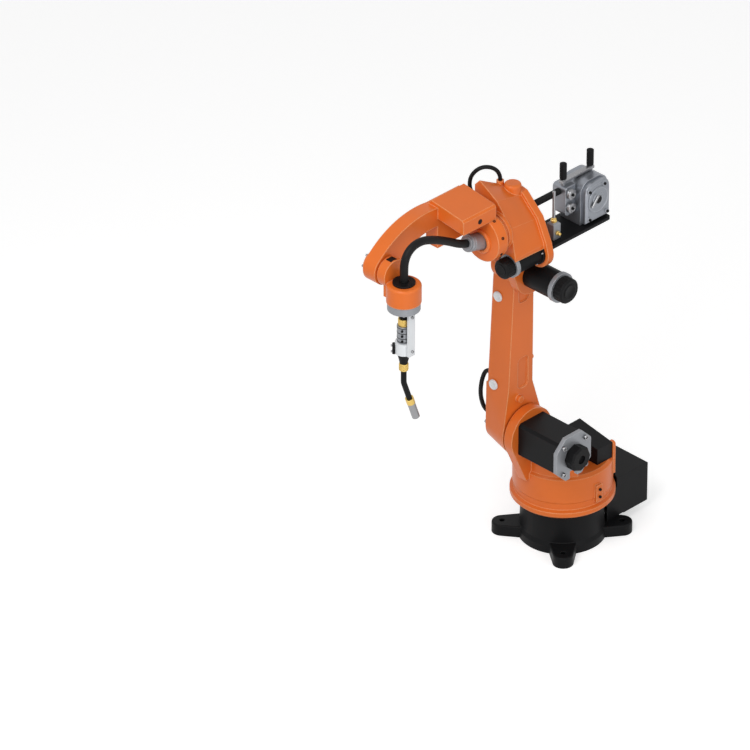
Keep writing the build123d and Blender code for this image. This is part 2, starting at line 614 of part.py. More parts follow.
def wire_feeder():
    """The wire drive carried behind the elbow on a flat plate."""
    top = FEED_PLATE_Z + FEED_PLATE_T
    plate = block(FEED_PLATE_REAR_X, ELBOW_REAR_X, -FEED_PLATE_HALF_W, FEED_PLATE_HALF_W, FEED_PLATE_Z, top)
    lobe_y = ARM_SIDE_Y + SIDE_GAP
    notch = block(0, ELBOW_REAR_X, lobe_y - LOBE_NOTCH_GAP, lobe_y + LOBE_T + LOBE_NOTCH_GAP,
                  FEED_PLATE_Z, top)
    plate -= notch & along_y(-FEED_PLATE_HALF_W, 2 * FEED_PLATE_HALF_W, ELBOW_REAR_X, FEED_PLATE_Z, LOBE_R)
    keep("feeder_plate", fillet(plate.edges().filter_by(Axis.Z).group_by(Axis.X)[0], FEED_PLATE_R).solid())
    x1 = FEED_BODY_X
    x0 = x1 - FEED_BODY_L
    outline = Rectangle(FEED_BODY_L, FEED_BODY_H)
    outline = fillet(outline.vertices().group_by(Axis.Y)[-1], FEED_BODY_R).moved(
        Pos((x0 + x1) / 2, top + FEED_BODY_H / 2))
    keep("feeder_housing", on_side(FEED_BODY_Y0, FEED_BODY_W, outline).solid())
    cover = on_side(FEED_BODY_Y0 + FEED_BODY_W, FEED_COVER_T, offset(outline, -FEED_COVER_INSET))
    cover = chamfer(cover.faces().sort_by(Axis.Y)[-1].edges(), FEED_COVER_CHAMFER)
    keep("feeder_cover", cover.solid())
    drive_y = FEED_BODY_Y0 + DRIVE_SETBACK
    drive = block(x1, x1 + DRIVE_L, drive_y, drive_y + DRIVE_W, top + DRIVE_RISE,
                  top + DRIVE_RISE + DRIVE_H)
    drive = fillet(drive.edges().filter_by(Axis.Y).group_by(Axis.X)[-1], DRIVE_EDGE_R)
    keep("feeder_drive_block", drive.solid())
    lever_z = top + FEED_BODY_H
    drive_top = top + DRIVE_RISE + DRIVE_H
    front_post = along_z(drive_top, lever_z - drive_top + POST_H, POST_FRONT_X, POST_Y, POST_R)
    rear_post = along_z(lever_z - POST_H, 2 * POST_H, POST_REAR_X, POST_Y, POST_R) - ALL["feeder_housing"]
    keep("feeder_tension_posts", Compound([front_post.solid(), rear_post.solid()]))
    grips = []
    for x in (POST_FRONT_X, POST_REAR_X):
        grip = along_z(lever_z + POST_H, GRIP_L, x, POST_Y, GRIP_R)
        grips.append(fillet(grip.edges().group_by(Axis.Z)[-1], GRIP_EDGE_R).solid())
    keep("feeder_grips", Compound(grips))
    valve_x = ELBOW_REAR_X - VALVE_SETBACK
    valve_y = VALVE_Y - VALVE_SIZE / 2
    valve = block(valve_x - VALVE_SIZE / 2, valve_x + VALVE_SIZE / 2, valve_y, valve_y + VALVE_SIZE,
                  top, top + VALVE_H)
    keep("feeder_valve", chamfer(valve.edges().group_by(Axis.Z)[-1], VALVE_CHAMFER).solid())
    rod_h = FEED_BODY_H + POST_H - VALVE_H
    keep("feeder_gas_tube", along_z(top + VALVE_H, rod_h, valve_x, VALVE_Y, ROD_R).solid())
    start = x1 + DRIVE_L
    hose_z = J4_Z + HOSE_RISE
    hose = along_x(start, ELBOW_REAR_X - start, HOSE_Y, hose_z, HOSE_R)
    keep("feeder_hose", hose.solid())


def forearm():
    """The roll link: a drum on the elbow's neck, a slanted roof and a one-sided horn."""
    x0 = ELBOW_FRONT_X + NECK_L + RUN_GAP
    drum = along_x(x0, FORE_DRUM_L, 0, J4_Z, FORE_DRUM_R)
    far = HORN_Y - HORN_T / 2
    inner = HORN_Y + HORN_T / 2
    root = -HORN_ROOT_DROP
    roof_face = make_face(Polyline(
        (far, root), (far, ROOF_TOP - ROOF_FAR_FALL), (far + ROOF_FAR_CUT, ROOF_TOP),
        (ROOF_NEAR_Y - ROOF_NEAR_CUT, ROOF_NEAR_TOP), (ROOF_NEAR_Y, ROOF_NEAR_TOP - ROOF_NEAR_FALL),
        (ROOF_NEAR_Y, ROOF_NEAR_TOP - ROOF_T), (inner, ROOF_TOP - ROOF_T - ROOF_SOFFIT_DROP),
        (inner, root), close=True)).moved(Pos(0, J4_Z))
    rear = x0 + ROOF_SETBACK
    front = rear + FORE_LENGTH
    roof = on_front(rear, FORE_LENGTH, roof_face)
    low_end = (WRIST_X - HORN_END_R, -HORN_LOW_DROP)
    high_end = (WRIST_X + HORN_HIGH_X, HORN_HIGH_Z)
    under = ThreePointArc((rear, root), (front + HORN_UNDER_X, HORN_ARCH_TOP), low_end)
    crest = (front + HORN_OVER_X, HORN_BACK_TOP - HORN_OVER_FALL)
    over = ThreePointArc(high_end, crest, (front, HORN_BACK_TOP))
    sides = Line(low_end, high_end) + Line((front, HORN_BACK_TOP), (rear, HORN_BACK_TOP)) + Line(
        (rear, HORN_BACK_TOP), (rear, root))
    horn = on_side(far, HORN_T, make_face(under + over + sides).moved(Pos(0, J4_Z)))
    horn += along_y(far, HORN_T, WRIST_X, J4_Z, HORN_END_R)
    gland = along_x(x0, FORE_DRUM_L, 0, J4_Z - GLAND_SINK, GLAND_R)
    mouth = Pos(x0 + FORE_DRUM_L, 0, J4_Z - GLAND_SINK) * Rot(0, -GLAND_TILT, 0)
    gland += mouth * along_x(-GLAND_ROOT_L, GLAND_ROOT_L + GLAND_L, 0, 0, GLAND_R)
    keep("forearm_casting", (drum + roof + horn - gland).solid())
    keep("forearm_gland", gland.solid())
    lean = math.radians(GLAND_TILT)
    ring_top = J4_Z + RING_TOP
    along = (math.cos(lean), math.sin(lean))
    start = (x0 + FORE_DRUM_L + GLAND_L * along[0], J4_Z - GLAND_SINK + GLAND_L * along[1])
    cord("torch_cable", [(start[0], 0, start[1]), (start[0] + 28 * along[0], 0, start[1] + 28 * along[1]),
                         (WRIST_X - 186, 0, J4_Z + 52), (WRIST_X - 126, 0, J4_Z + 83),
                         (WRIST_X - 72, 0, J4_Z + 102), (WRIST_X - 26, 0, J4_Z + 94),
                         (WRIST_X - 2, 0, J4_Z + 62), (WRIST_X, 0, ring_top + 28),
                         (WRIST_X, 0, ring_top - 10)], TORCH_CABLE_R)
    z0 = J4_Z + LOOP_START_RISE
    z1 = J4_Z + LOOP_END_RISE
    y1 = ELBOW_FAR_Y - LOOP_BOSS_R
    cord("elbow_loop_cable", [(LOOP_START_X, LOOP_START_Y, z0), (LOOP_START_X, LOOP_START_Y, z0 + 22),
                              (LOOP_START_X + 24, LOOP_START_Y - 8, z0 + 52), (LOOP_END_X - 18, y1, z0 + 58),
                              (LOOP_END_X, y1 - 22, z0 + 30), (LOOP_END_X + 2, y1 - 30, z0 - 6),
                              (LOOP_END_X, y1 - 22, z1), (LOOP_END_X, y1, z1)], LOOP_CABLE_R)


def wrist():
    """The tilting wrist: a knuckle on the horn and a ring that carries the tool flange."""
    y0 = HORN_Y + HORN_T / 2 + SIDE_GAP
    knuckle = along_y(y0, KNUCKLE_T, WRIST_X, J4_Z, KNUCKLE_R)
    knuckle += along_y(y0 - SIDE_GAP + RUN_GAP, SIDE_GAP, WRIST_X, J4_Z, KNUCKLE_BEARING_R)
    ring_z = J4_Z + RING_TOP - RING_H
    ring = along_z(ring_z, RING_H, WRIST_X, 0, RING_R)
    ring = fillet(ring.edges().group_by(Axis.Z)[-1], RING_EDGE_R)
    bridge = block(WRIST_X - BRIDGE_HALF_W, WRIST_X + BRIDGE_HALF_W, y0 + KNUCKLE_T / 2, 0,
                   ring_z + BRIDGE_INSET, J4_Z + RING_TOP - BRIDGE_INSET)
    body = knuckle + ring + bridge
    body -= along_z(ring_z, RING_H + RING_BORE_RISE, WRIST_X, 0, GROMMET_R)
    keep("wrist_casting", body.solid())
    cover_y = HORN_Y - HORN_T / 2 - HORN_COVER_T
    outer = along_y(cover_y, HORN_COVER_T, WRIST_X, J4_Z, KNUCKLE_R - HORN_COVER_INSET)
    keep("horn_end_cover", chamfer(outer.edges().group_by(Axis.Y)[0], HORN_COVER_CHAMFER).solid())
    top = J4_Z + RING_TOP
    grommet = along_z(top - GROMMET_H, GROMMET_H, WRIST_X, 0, GROMMET_R)
    grommet += along_z(top, GROMMET_LIP_H, WRIST_X, 0, GROMMET_R + GROMMET_LIP_W)
    grommet -= along_z(top - GROMMET_H, GROMMET_H + GROMMET_LIP_H, WRIST_X, 0, TORCH_CABLE_R + GROMMET_GAP)
    keep("wrist_grommet", grommet.solid())


def torch():
    """The tool flange and the welding torch that hangs from it, from the top down."""
    z = J4_Z + RING_TOP - RING_H - RUN_GAP

    def stack(name, height, radius, low_radius=None):
        nonlocal z
        z -= height
        piece = along_z(z, height, WRIST_X, 0, radius)
        if low_radius is not None:
            piece = Pos(WRIST_X, 0, z + height / 2) * Cone(low_radius, radius, height)
        return keep(name, piece.solid())

    stack("tool_flange", TOOL_FLANGE_T, FLANGE_R)
    bracket_top = z
    stack("torch_spacer", SPACER_T, SPACER_R)
    stack("torch_nut", SOCKET_NUT_T, SOCKET_NUT_R)
    stack("torch_collar", COLLAR_T, COLLAR_R)
    stack("torch_body", BODY_L, BODY_R)
    clamp_top = z
    stack("torch_clamp", CLAMP_T, CLAMP_R)
    stack("torch_cone", CONE_L, BODY_R, NECK_TUBE_R + CONE_END_GROW)
    stack("torch_lower_collar", COLLAR_T, NECK_TUBE_R + LOWER_COLLAR_GROW)
    bend_z = z - NECK_DROP
    lean = math.radians(NECK_BEND)
    tip = (WRIST_X - NECK_LEAN * math.sin(lean), 0, bend_z - NECK_LEAN * math.cos(lean))
    path = FilletPolyline((WRIST_X, 0, z), (WRIST_X, 0, bend_z), tip, radius=NECK_BEND_R)
    neck = sweep(Plane(path @ 0, z_dir=path % 0) * Circle(NECK_TUBE_R), path=path)
    keep("torch_neck", neck.solid())
    aim = Plane(origin=tip, x_dir=(0, 1, 0), z_dir=(-math.sin(lean), 0, -math.cos(lean)))
    keep("torch_tip_collar", extrude(aim * Circle(TIP_COLLAR_R), TIP_COLLAR_T).solid())
    nozzle_plane = aim.offset(TIP_COLLAR_T)
    nozzle = extrude(nozzle_plane * Circle(NOZZLE_R), NOZZLE_L)
    nozzle -= extrude(nozzle_plane.offset(NOZZLE_L) * Circle(NOZZLE_R - NOZZLE_WALL), -NOZZLE_BORE_L)
    keep("torch_nozzle", nozzle.solid())
    bracket = block(WRIST_X - BRACKET_W / 2, WRIST_X + BRACKET_W / 2, CLAMP_R, CLAMP_R + BRACKET_T,
                    clamp_top - CLAMP_T, bracket_top)
    keep("torch_bracket", bracket.solid())
    join_nodes("torch_collars", "torch_collar", "torch_lower_collar", "torch_tip_collar")


def main():
    base_casting()
    base_connector_box()
    turret_casting()
    turret_fittings()
    shoulder_motor()
    lower_arm()
    elbow_housing()
    elbow_motors()
    wire_feeder()
    forearm()
    wrist()
    torch()
    os.makedirs("parts", exist_ok=True)
    for name, shape in ALL.items():
        export_step(shape, os.path.join("parts", name + ".step"))
    print(len(ALL), "nodes")


main()
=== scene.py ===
import json
import math
import bmesh
import bpy
from mathutils import Matrix, Vector


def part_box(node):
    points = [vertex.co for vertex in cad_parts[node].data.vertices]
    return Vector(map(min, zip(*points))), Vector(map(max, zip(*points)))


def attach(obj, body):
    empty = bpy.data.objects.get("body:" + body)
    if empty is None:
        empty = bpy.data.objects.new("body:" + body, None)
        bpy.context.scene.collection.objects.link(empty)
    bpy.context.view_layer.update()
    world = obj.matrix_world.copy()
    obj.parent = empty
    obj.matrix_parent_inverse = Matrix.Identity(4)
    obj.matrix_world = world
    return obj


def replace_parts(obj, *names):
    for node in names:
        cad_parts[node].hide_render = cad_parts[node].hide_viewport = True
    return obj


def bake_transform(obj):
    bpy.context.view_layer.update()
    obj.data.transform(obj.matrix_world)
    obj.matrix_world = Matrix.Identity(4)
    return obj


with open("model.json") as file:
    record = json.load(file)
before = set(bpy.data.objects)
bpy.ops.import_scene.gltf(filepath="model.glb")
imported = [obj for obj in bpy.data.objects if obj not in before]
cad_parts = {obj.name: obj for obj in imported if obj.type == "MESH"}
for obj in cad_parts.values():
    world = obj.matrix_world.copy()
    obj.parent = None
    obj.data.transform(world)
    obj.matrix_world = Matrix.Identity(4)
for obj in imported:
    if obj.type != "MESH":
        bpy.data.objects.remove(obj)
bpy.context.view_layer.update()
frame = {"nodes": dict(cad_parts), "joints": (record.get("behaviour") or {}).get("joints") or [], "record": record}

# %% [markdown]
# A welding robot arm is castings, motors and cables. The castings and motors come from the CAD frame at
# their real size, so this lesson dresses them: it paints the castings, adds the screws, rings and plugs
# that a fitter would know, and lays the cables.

NODES = frame["nodes"]

# %% [markdown]
# The picture was taken from far away, from the arm's front left, looking down. A long lens at a large
# distance keeps the upright edges parallel, as they are there. The camera aims beside the arm, because
# the arm stands right of the middle of the picture, so no lens shift is needed.

# %% Camera
AZIMUTH = math.radians(135)
ELEVATION = math.radians(32)
LENS_MM = 400
SENSOR_MM = 36
IMAGE_PX = 750
SCALE_PX_PER_M = 322.5
AIM = Vector((0.4145, -0.4145, 0.574))
DISTANCE = IMAGE_PX * LENS_MM / SENSOR_MM / SCALE_PX_PER_M
FARTHEST_SEEN = 100

camera_data = bpy.data.cameras.new("camera")
camera_data.lens = LENS_MM
camera_data.sensor_width = SENSOR_MM
camera_data.clip_end = FARTHEST_SEEN
camera = bpy.data.objects.new("camera", camera_data)
bpy.context.collection.objects.link(camera)
back = Vector((math.sin(AZIMUTH) * math.cos(ELEVATION), -math.cos(AZIMUTH) * math.cos(ELEVATION),
               math.sin(ELEVATION)))
camera.location = AIM + back * DISTANCE
camera.rotation_euler = back.to_track_quat("Z", "Y").to_euler()
bpy.context.scene.camera = camera
bpy.context.scene.view_settings.view_transform = "Standard"
print("camera", round(DISTANCE, 2), "m from the aim point")

# %% [markdown]
# Studio light is one large soft lamp above and in front, a weaker one from the side and a small one low
# down, which keeps the black base from closing up. Area lamps give soft shadows like a studio's screens;
# a sun lamp would draw hard ones.

# %% Lamps
ARM_MIDDLE = (0.2, 0.0, 0.7)
BASE_MIDDLE = (0.0, 0.0, 0.3)
# For each lamp: its place, the point that it faces, its size in metres and its watts.
LAMPS = {
    "key_lamp": ((2.4, 0.6, 3.4), ARM_MIDDLE, 1.8, 58),
    "side_lamp": ((0.2, 3.2, 1.6), ARM_MIDDLE, 2.0, 18),
    "low_lamp": ((1.9, 2.3, 0.9), BASE_MIDDLE, 1.4, 10),
}

for name, (place, target, size, watts) in LAMPS.items():
    data = bpy.data.lights.new(name, "AREA")
    data.size = size
    data.energy = watts
    lamp = bpy.data.objects.new(name, data)
    bpy.context.collection.objects.link(lamp)
    lamp.location = place
    lamp.rotation_euler = (Vector(place) - Vector(target)).to_track_quat("Z", "Y").to_euler()
print("lamps", list(LAMPS))

# %% [markdown]
# The background is white paper. A surround that is bright enough to look white would light the arm too much,
# so it is white for what the eye sees, directly, in a mirror or through glass, and dimmer as a lamp.

# %% Surround
WHITE = (1, 1, 1, 1)
SURROUND_LEVEL = 0.45


def math_node(tree, operation, a, b):
    """One sum on two sockets or numbers."""
    node = tree.nodes.new("ShaderNodeMath")
    node.operation = operation
    for socket, value in zip(node.inputs, (a, b)):
        if isinstance(value, (int, float)):
            socket.default_value = value
        else:
            tree.links.new(value, socket)
    return node.outputs[0]


def light_path_sees_white(tree):
    """1 for rays from the camera, a mirror or glass, else 0."""
    path = tree.nodes.new("ShaderNodeLightPath")
    direct = math_node(tree, "MAXIMUM", path.outputs["Is Camera Ray"], path.outputs["Is Glossy Ray"])
    return math_node(tree, "MAXIMUM", direct, path.outputs["Is Transmission Ray"])


world = bpy.data.worlds.new("surround")
bpy.context.scene.world = world
world.use_nodes = True
tree = world.node_tree
lit = tree.nodes["Background"]
lit.inputs["Color"].default_value = WHITE
lit.inputs["Strength"].default_value = SURROUND_LEVEL
white = tree.nodes.new("ShaderNodeBackground")
white.inputs["Color"].default_value = WHITE
mix = tree.nodes.new("ShaderNodeMixShader")
tree.links.new(light_path_sees_white(tree), mix.inputs[0])
tree.links.new(lit.outputs[0], mix.inputs[1])
tree.links.new(white.outputs[0], mix.inputs[2])
tree.links.new(mix.outputs[0], tree.nodes["World Output"].inputs[0])
print("surround lights at", SURROUND_LEVEL)

# %% [markdown]
# The floor is near white. Where it is seen, a little glow lifts it towards the white of the paper, and the
# arm's shadow still falls on it. Pure white paint would look bright too, but it would throw more light up
# at the arm.

# %% Floor
FLOOR_SIZE = 14.0
FLOOR_COLOUR = (0.82, 0.82, 0.82, 1)
FLOOR_ROUGHNESS = 0.9
FLOOR_GLOW = 0.5

half = FLOOR_SIZE / 2
floor_mesh = bpy.data.meshes.new("floor")
floor_mesh.from_pydata([(-half, -half, 0), (half, -half, 0), (half, half, 0), (-half, half, 0)], [],
                       [(0, 1, 2, 3)])
floor = bpy.data.objects.new("floor", floor_mesh)
bpy.context.collection.objects.link(floor)
floor_paint = bpy.data.materials.new("pale_floor")
floor_paint.use_nodes = True
floor_tree = floor_paint.node_tree
floor_shader = floor_tree.nodes["Principled BSDF"]
floor_shader.inputs["Base Color"].default_value = FLOOR_COLOUR
floor_shader.inputs["Roughness"].default_value = FLOOR_ROUGHNESS
floor_shader.inputs["Emission Color"].default_value = WHITE
glow = math_node(floor_tree, "MULTIPLY", light_path_sees_white(floor_tree), FLOOR_GLOW)
floor_tree.links.new(glow, floor_shader.inputs["Emission Strength"])
floor_mesh.materials.append(floor_paint)
print("floor", FLOOR_SIZE, "m wide")

# %% [markdown]
# Three effects serve every finish, so each is a node group that is built once and shared: edges, clouds and
# grain. They need the same few building blocks: a group with named sockets, noise that stays with the
# object, and a surface direction that is averaged over a small radius.

# %% Building blocks of the effects
VALUE, COLOUR, VECTOR = "NodeSocketFloat", "NodeSocketColor", "NodeSocketVector"
NOISE_ROUGHNESS = 0.55
BEVEL_SAMPLES = 4


def new_group(name, inputs, outputs):
    """A shader group with the sockets given; returns the tree and its two end nodes."""
    group = bpy.data.node_groups.new(name, "ShaderNodeTree")
    for direction, sockets in (("INPUT", inputs), ("OUTPUT", outputs)):
        for socket_name, kind, default in sockets:
            socket = group.interface.new_socket(name=socket_name, in_out=direction, socket_type=kind)
            if default is not None:
                socket.default_value = default
    return group, group.nodes.new("NodeGroupInput"), group.nodes.new("NodeGroupOutput")


def noise_node(tree, scale, detail):
    """Noise in the object's own coordinates; the scale is a number or a socket."""
    coordinates = tree.nodes.new("ShaderNodeTexCoord")
    node = tree.nodes.new("ShaderNodeTexNoise")
    node.inputs["Detail"].default_value = detail
    node.inputs["Roughness"].default_value = NOISE_ROUGHNESS
    tree.links.new(coordinates.outputs["Object"], node.inputs["Vector"])
    if isinstance(scale, (int, float)):
        node.inputs["Scale"].default_value = scale
    else:
        tree.links.new(scale, node.inputs["Scale"])
    return node.outputs["Fac"]


def averaged_normal(tree, radius):
    """The surface's direction, averaged over a small radius."""
    bevel = tree.nodes.new("ShaderNodeBevel")
    bevel.samples = BEVEL_SAMPLES
    tree.links.new(radius, bevel.inputs["Radius"])
    return bevel.outputs["Normal"]


print("building blocks for three effects")

# %% [markdown]
# Paint is thin and bright on edges, and the lighter edge tint there is partly worn paint and partly a
# painted highlight, standing in for the light that edges catch. This group finds the edges: it compares
# the true surface direction with the averaged one, and the two differ only near an edge. Noise makes the
# mask patchy, as wear is. Painting wear by hand would also work, but it would not follow a change of shape.

# %% Edge finder
EDGE_PATCH_SCALE = 60.0
EDGE_PATCH_DETAIL = 4.0
EDGE_GAIN = 9.0


def make_edge_group():
    """A mask that is 1 on sharp edges, in patches."""
    group, given, out = new_group("edge_finder", [("Radius", VALUE, 0.003)], [("Edge", VALUE, None)])
    geometry = group.nodes.new("ShaderNodeNewGeometry")
    dot = group.nodes.new("ShaderNodeVectorMath")
    dot.operation = "DOT_PRODUCT"
    group.links.new(averaged_normal(group, given.outputs["Radius"]), dot.inputs[0])
    group.links.new(geometry.outputs["Normal"], dot.inputs[1])
    away = math_node(group, "SUBTRACT", 1.0, dot.outputs["Value"])
    patches = noise_node(group, EDGE_PATCH_SCALE, EDGE_PATCH_DETAIL)
    patchy = math_node(group, "MULTIPLY", away, patches)
    strong = math_node(group, "MULTIPLY", patchy, EDGE_GAIN)
    group.links.new(math_node(group, "MINIMUM", strong, 1.0), out.inputs["Edge"])
    return group


EDGE = make_edge_group()
print("group", EDGE.name)

# %% [markdown]
# No large surface has one even colour: dust, heat and the spray gun leave faint clouds. This group makes a
# colour a little lighter and darker in clouds, and hands the clouds on, so that a finish can let its
# roughness drift with them.

# %% Clouds
CLOUD_DETAIL = 6.0
CLOUD_MEAN = 0.5


def make_cloud_group():
    """A colour that is lighter and darker in clouds, and the clouds themselves."""
    group, given, out = new_group(
        "clouds", [("Colour", COLOUR, (0.5, 0.5, 0.5, 1)), ("Amount", VALUE, 0.1), ("Scale", VALUE, 6.0)],
        [("Colour", COLOUR, None), ("Cloud", VALUE, None)])
    cloud = noise_node(group, given.outputs["Scale"], CLOUD_DETAIL)
    centred = math_node(group, "SUBTRACT", cloud, CLOUD_MEAN)
    change = math_node(group, "MULTIPLY", centred, given.outputs["Amount"])
    level = math_node(group, "ADD", math_node(group, "MULTIPLY", change, 2.0), 1.0)
    scaled = group.nodes.new("ShaderNodeVectorMath")
    scaled.operation = "SCALE"
    group.links.new(given.outputs["Colour"], scaled.inputs[0])
    group.links.new(level, scaled.inputs["Scale"])
    group.links.new(scaled.outputs[0], out.inputs["Colour"])
    group.links.new(cloud, out.inputs["Cloud"])
    return group


CLOUDS = make_cloud_group()
print("group", CLOUDS.name)

# %% [markdown]
# Cast and sprayed surfaces have a fine grain, and their edges are never knife sharp. This group tilts the
# surface by a fine noise and starts from the averaged direction, so that edges catch the light as if they
# were rounded. Real bevels on every edge would cost far more triangles.

# %% Grain
GRAIN_DETAIL = 2.0
GRAIN_HEIGHT = 0.0006


def make_grain_group():
    """A normal with a fine grain on softened edges."""
    group, given, out = new_group(
        "grain", [("Scale", VALUE, 400.0), ("Depth", VALUE, 0.1), ("Soft", VALUE, 0.002)],
        [("Normal", VECTOR, None)])
    bump = group.nodes.new("ShaderNodeBump")
    bump.inputs["Distance"].default_value = GRAIN_HEIGHT
    group.links.new(given.outputs["Depth"], bump.inputs["Strength"])
    group.links.new(noise_node(group, given.outputs["Scale"], GRAIN_DETAIL), bump.inputs["Height"])
    group.links.new(averaged_normal(group, given.outputs["Soft"]), bump.inputs["Normal"])
    group.links.new(bump.outputs["Normal"], out.inputs["Normal"])
    return group


GRAIN = make_grain_group()
print("group", GRAIN.name)

# %% [markdown]
# A finish is a plain shader plus those effects with its own values: a colour that clouds over, a roughness
# that drifts with the same clouds, a lighter edge tint that is worn paint and a painted highlight, and a
# grain. One function builds them all, because they differ only in numbers.

# %% One finish
COAT_ROUGHNESS = 0.25
# The places of the mix node's two colours and of its result among its sockets.
MIX_FIRST, MIX_SECOND, MIX_RESULT = 6, 7, 2


def place_group(tree, group, **values):
    """A group in a material, with its inputs set."""
    node = tree.nodes.new("ShaderNodeGroup")
    node.node_tree = group
    for name, value in values.items():
        node.inputs[name].default_value = value
    return node


def finish(name, colour, rough, edge_wear_and_highlight_colour, metal=0.0, cloud=0.08, cloud_scale=7.0, rough_drift=0.12,
           edge=0.5, edge_radius=0.003, grain_scale=420.0, grain_depth=0.12, coat=0.0, specular=0.5,
           soft=0.0025):
    """A material from one colour and the three shared effects."""
    material = bpy.data.materials.new(name)
    material.use_nodes = True
    tree = material.node_tree
    shader = tree.nodes["Principled BSDF"]
    shader.inputs["Metallic"].default_value = metal
    shader.inputs["Coat Weight"].default_value = coat
    shader.inputs["Specular IOR Level"].default_value = specular
    shader.inputs["Coat Roughness"].default_value = COAT_ROUGHNESS
    clouds = place_group(tree, CLOUDS, Colour=(*colour, 1), Amount=cloud, Scale=cloud_scale)
    edges = place_group(tree, EDGE, Radius=edge_radius)
    mixed = tree.nodes.new("ShaderNodeMix")
    mixed.data_type = "RGBA"
    # The edge tint is lighter than the base colour: partly worn paint, partly a painted highlight on edges.
    mixed.inputs[MIX_SECOND].default_value = (*edge_wear_and_highlight_colour, 1)
    tree.links.new(math_node(tree, "MULTIPLY", edges.outputs["Edge"], edge), mixed.inputs[0])
    tree.links.new(clouds.outputs["Colour"], mixed.inputs[MIX_FIRST])
    tree.links.new(mixed.outputs[MIX_RESULT], shader.inputs["Base Color"])
    drift = math_node(tree, "MULTIPLY", clouds.outputs["Cloud"], rough_drift)
    tree.links.new(math_node(tree, "ADD", drift, rough - rough_drift / 2), shader.inputs["Roughness"])
    grain = place_group(tree, GRAIN, Scale=grain_scale, Depth=grain_depth, Soft=soft)
    tree.links.new(grain.outputs["Normal"], shader.inputs["Normal"])
    return material


print("finish builder with", EDGE.name, CLOUDS.name, GRAIN.name)

# %% [markdown]
# Paint on a casting is satin with a soft coat. Motors are matt black. The feeder is bare die-cast metal, and
# the torch mixes brass, steel and plastic. The record names a slot for each CAD node, and each slot has
# its finish here, so that painting the whole arm is one loop.

# %% All the finishes
# The third colour of each finish is its edge tint, lighter than the base: worn paint and a painted highlight.
FINISHES = {
    "orange_paint": finish("orange_paint", (0.71, 0.150, 0.020), 0.36, (1.0, 0.55, 0.27), coat=0.08,
                           cloud=0.10, edge=0.7, edge_radius=0.005, soft=0.004, specular=0.25),
    "black_paint": finish("black_paint", (0.006, 0.0062, 0.0068), 0.46, (0.04, 0.041, 0.044), cloud=0.22,
                          edge=0.5, specular=0.10),
    "black_plastic": finish("black_plastic", (0.005, 0.005, 0.0055), 0.5, (0.03, 0.03, 0.032), cloud=0.2,
                            grain_scale=900.0, grain_depth=0.2, specular=0.12),
    "grey_metal": finish("grey_metal", (0.27, 0.28, 0.30), 0.44, (0.55, 0.56, 0.58), metal=0.55, cloud=0.12),
    "silver_cast": finish("silver_cast", (0.27, 0.285, 0.315), 0.34, (0.62, 0.64, 0.67), metal=0.8,
                          cloud=0.16, grain_scale=600.0, grain_depth=0.25),
    "white_plastic": finish("white_plastic", (0.72, 0.74, 0.76), 0.32, (0.85, 0.86, 0.88), cloud=0.04,
                            grain_depth=0.05),
    "brass": finish("brass", (0.68, 0.47, 0.13), 0.28, (0.85, 0.66, 0.30), metal=0.9, cloud=0.14),
    "steel": finish("steel", (0.29, 0.29, 0.30), 0.28, (0.62, 0.62, 0.63), metal=0.95, cloud=0.14),
    "rubber": finish("rubber", (0.005, 0.005, 0.0053), 0.52, (0.02, 0.02, 0.021), cloud=0.2,
                     grain_scale=700.0, grain_depth=0.2, specular=0.16),
}
SLOT_OF = {row["node"]: row["material_slot"] for row in frame["record"]["subparts"]}
for node_name, node in NODES.items():
    node.data.materials.clear()
    node.data.materials.append(FINISHES[SLOT_OF[node_name]])
print(len(FINISHES), "finishes on", len(NODES), "nodes")

# %% [markdown]
# Screws, nuts, rings and rollers are turned parts, so one helper works like a lathe: it spins pairs of radius
# and height round an axis, and six sides instead of many give a hexagon. Modelling each of them by hand
# would look the same and take far longer. The sizes of pieces are in millimetres from here on, as on a
# drawing.

# %% Lathe
MM = 0.001


def placed(point, axis):
    """A frame at a point in millimetres, with its Z along an axis."""
    turn = Vector(axis).to_track_quat("Z", "Y").to_matrix().to_4x4()
    return Matrix.Translation(Vector(point) * MM) @ turn


def ring_of(count, radius, start=0.0):
    """Points evenly spaced on a circle, in two coordinates."""
    angles = [start + 2 * math.pi * i / count for i in range(count)]
    return [(radius * math.cos(angle), radius * math.sin(angle)) for angle in angles]


def lathe(bm, profile, place, sides=32):
    """Spin pairs of radius and height round the frame's Z axis."""
    rings = []
    for radius, height in profile:
        rings.append([bm.verts.new(place @ (Vector((x, y, height)) * MM)) for x, y in ring_of(sides, radius)])
    for low, high in zip(rings, rings[1:]):
        for i in range(sides):
            bm.faces.new((low[i], low[i - 1], high[i - 1], high[i]))
    bm.faces.new(rings[0])
    bm.faces.new(rings[-1])


def repeated(profile, pitch, count):
    """A profile's points again and again, each time one pitch higher."""
    return [(radius, height + pitch * i) for i in range(count) for radius, height in profile]


print("lathe, in steps of", MM, "m")

# %% [markdown]
# Levers, ribs, fins and lids are cut from plate, so a second helper pushes an outline out and rounds its
# rims. A bevel modifier would round them too, but here the piece is joined from many plates with rims
# of their own.

# %% Plate
RIM_SEGMENTS = 2


def plate(bm, outline, thickness, place, rim):
    """Push an outline up into a plate and round its rims."""
    sheet = bmesh.new()
    bottom = sheet.faces.new([sheet.verts.new(Vector((x, y, 0)) * MM) for x, y in outline])
    grown = bmesh.ops.extrude_face_region(sheet, geom=[bottom])["geom"]
    top = [part for part in grown if isinstance(part, bmesh.types.BMVert)]
    bmesh.ops.translate(sheet, verts=top, vec=Vector((0, 0, thickness)) * MM)
    bmesh.ops.bevel(sheet, geom=sheet.edges[:], offset=rim * MM, segments=RIM_SEGMENTS, affect="EDGES")
    sheet.transform(place)
    spare = bpy.data.meshes.new("spare")
    sheet.to_mesh(spare)
    sheet.free()
    bm.from_mesh(spare)
    bpy.data.meshes.remove(spare)


def plates_round(bm, outline, thickness, place, rim, count):
    """The same plate again and again, set round the frame's Z axis."""
    for i in range(count):
        plate(bm, outline, thickness, place @ Matrix.Rotation(2 * math.pi * i / count, 4, "Z"), rim)


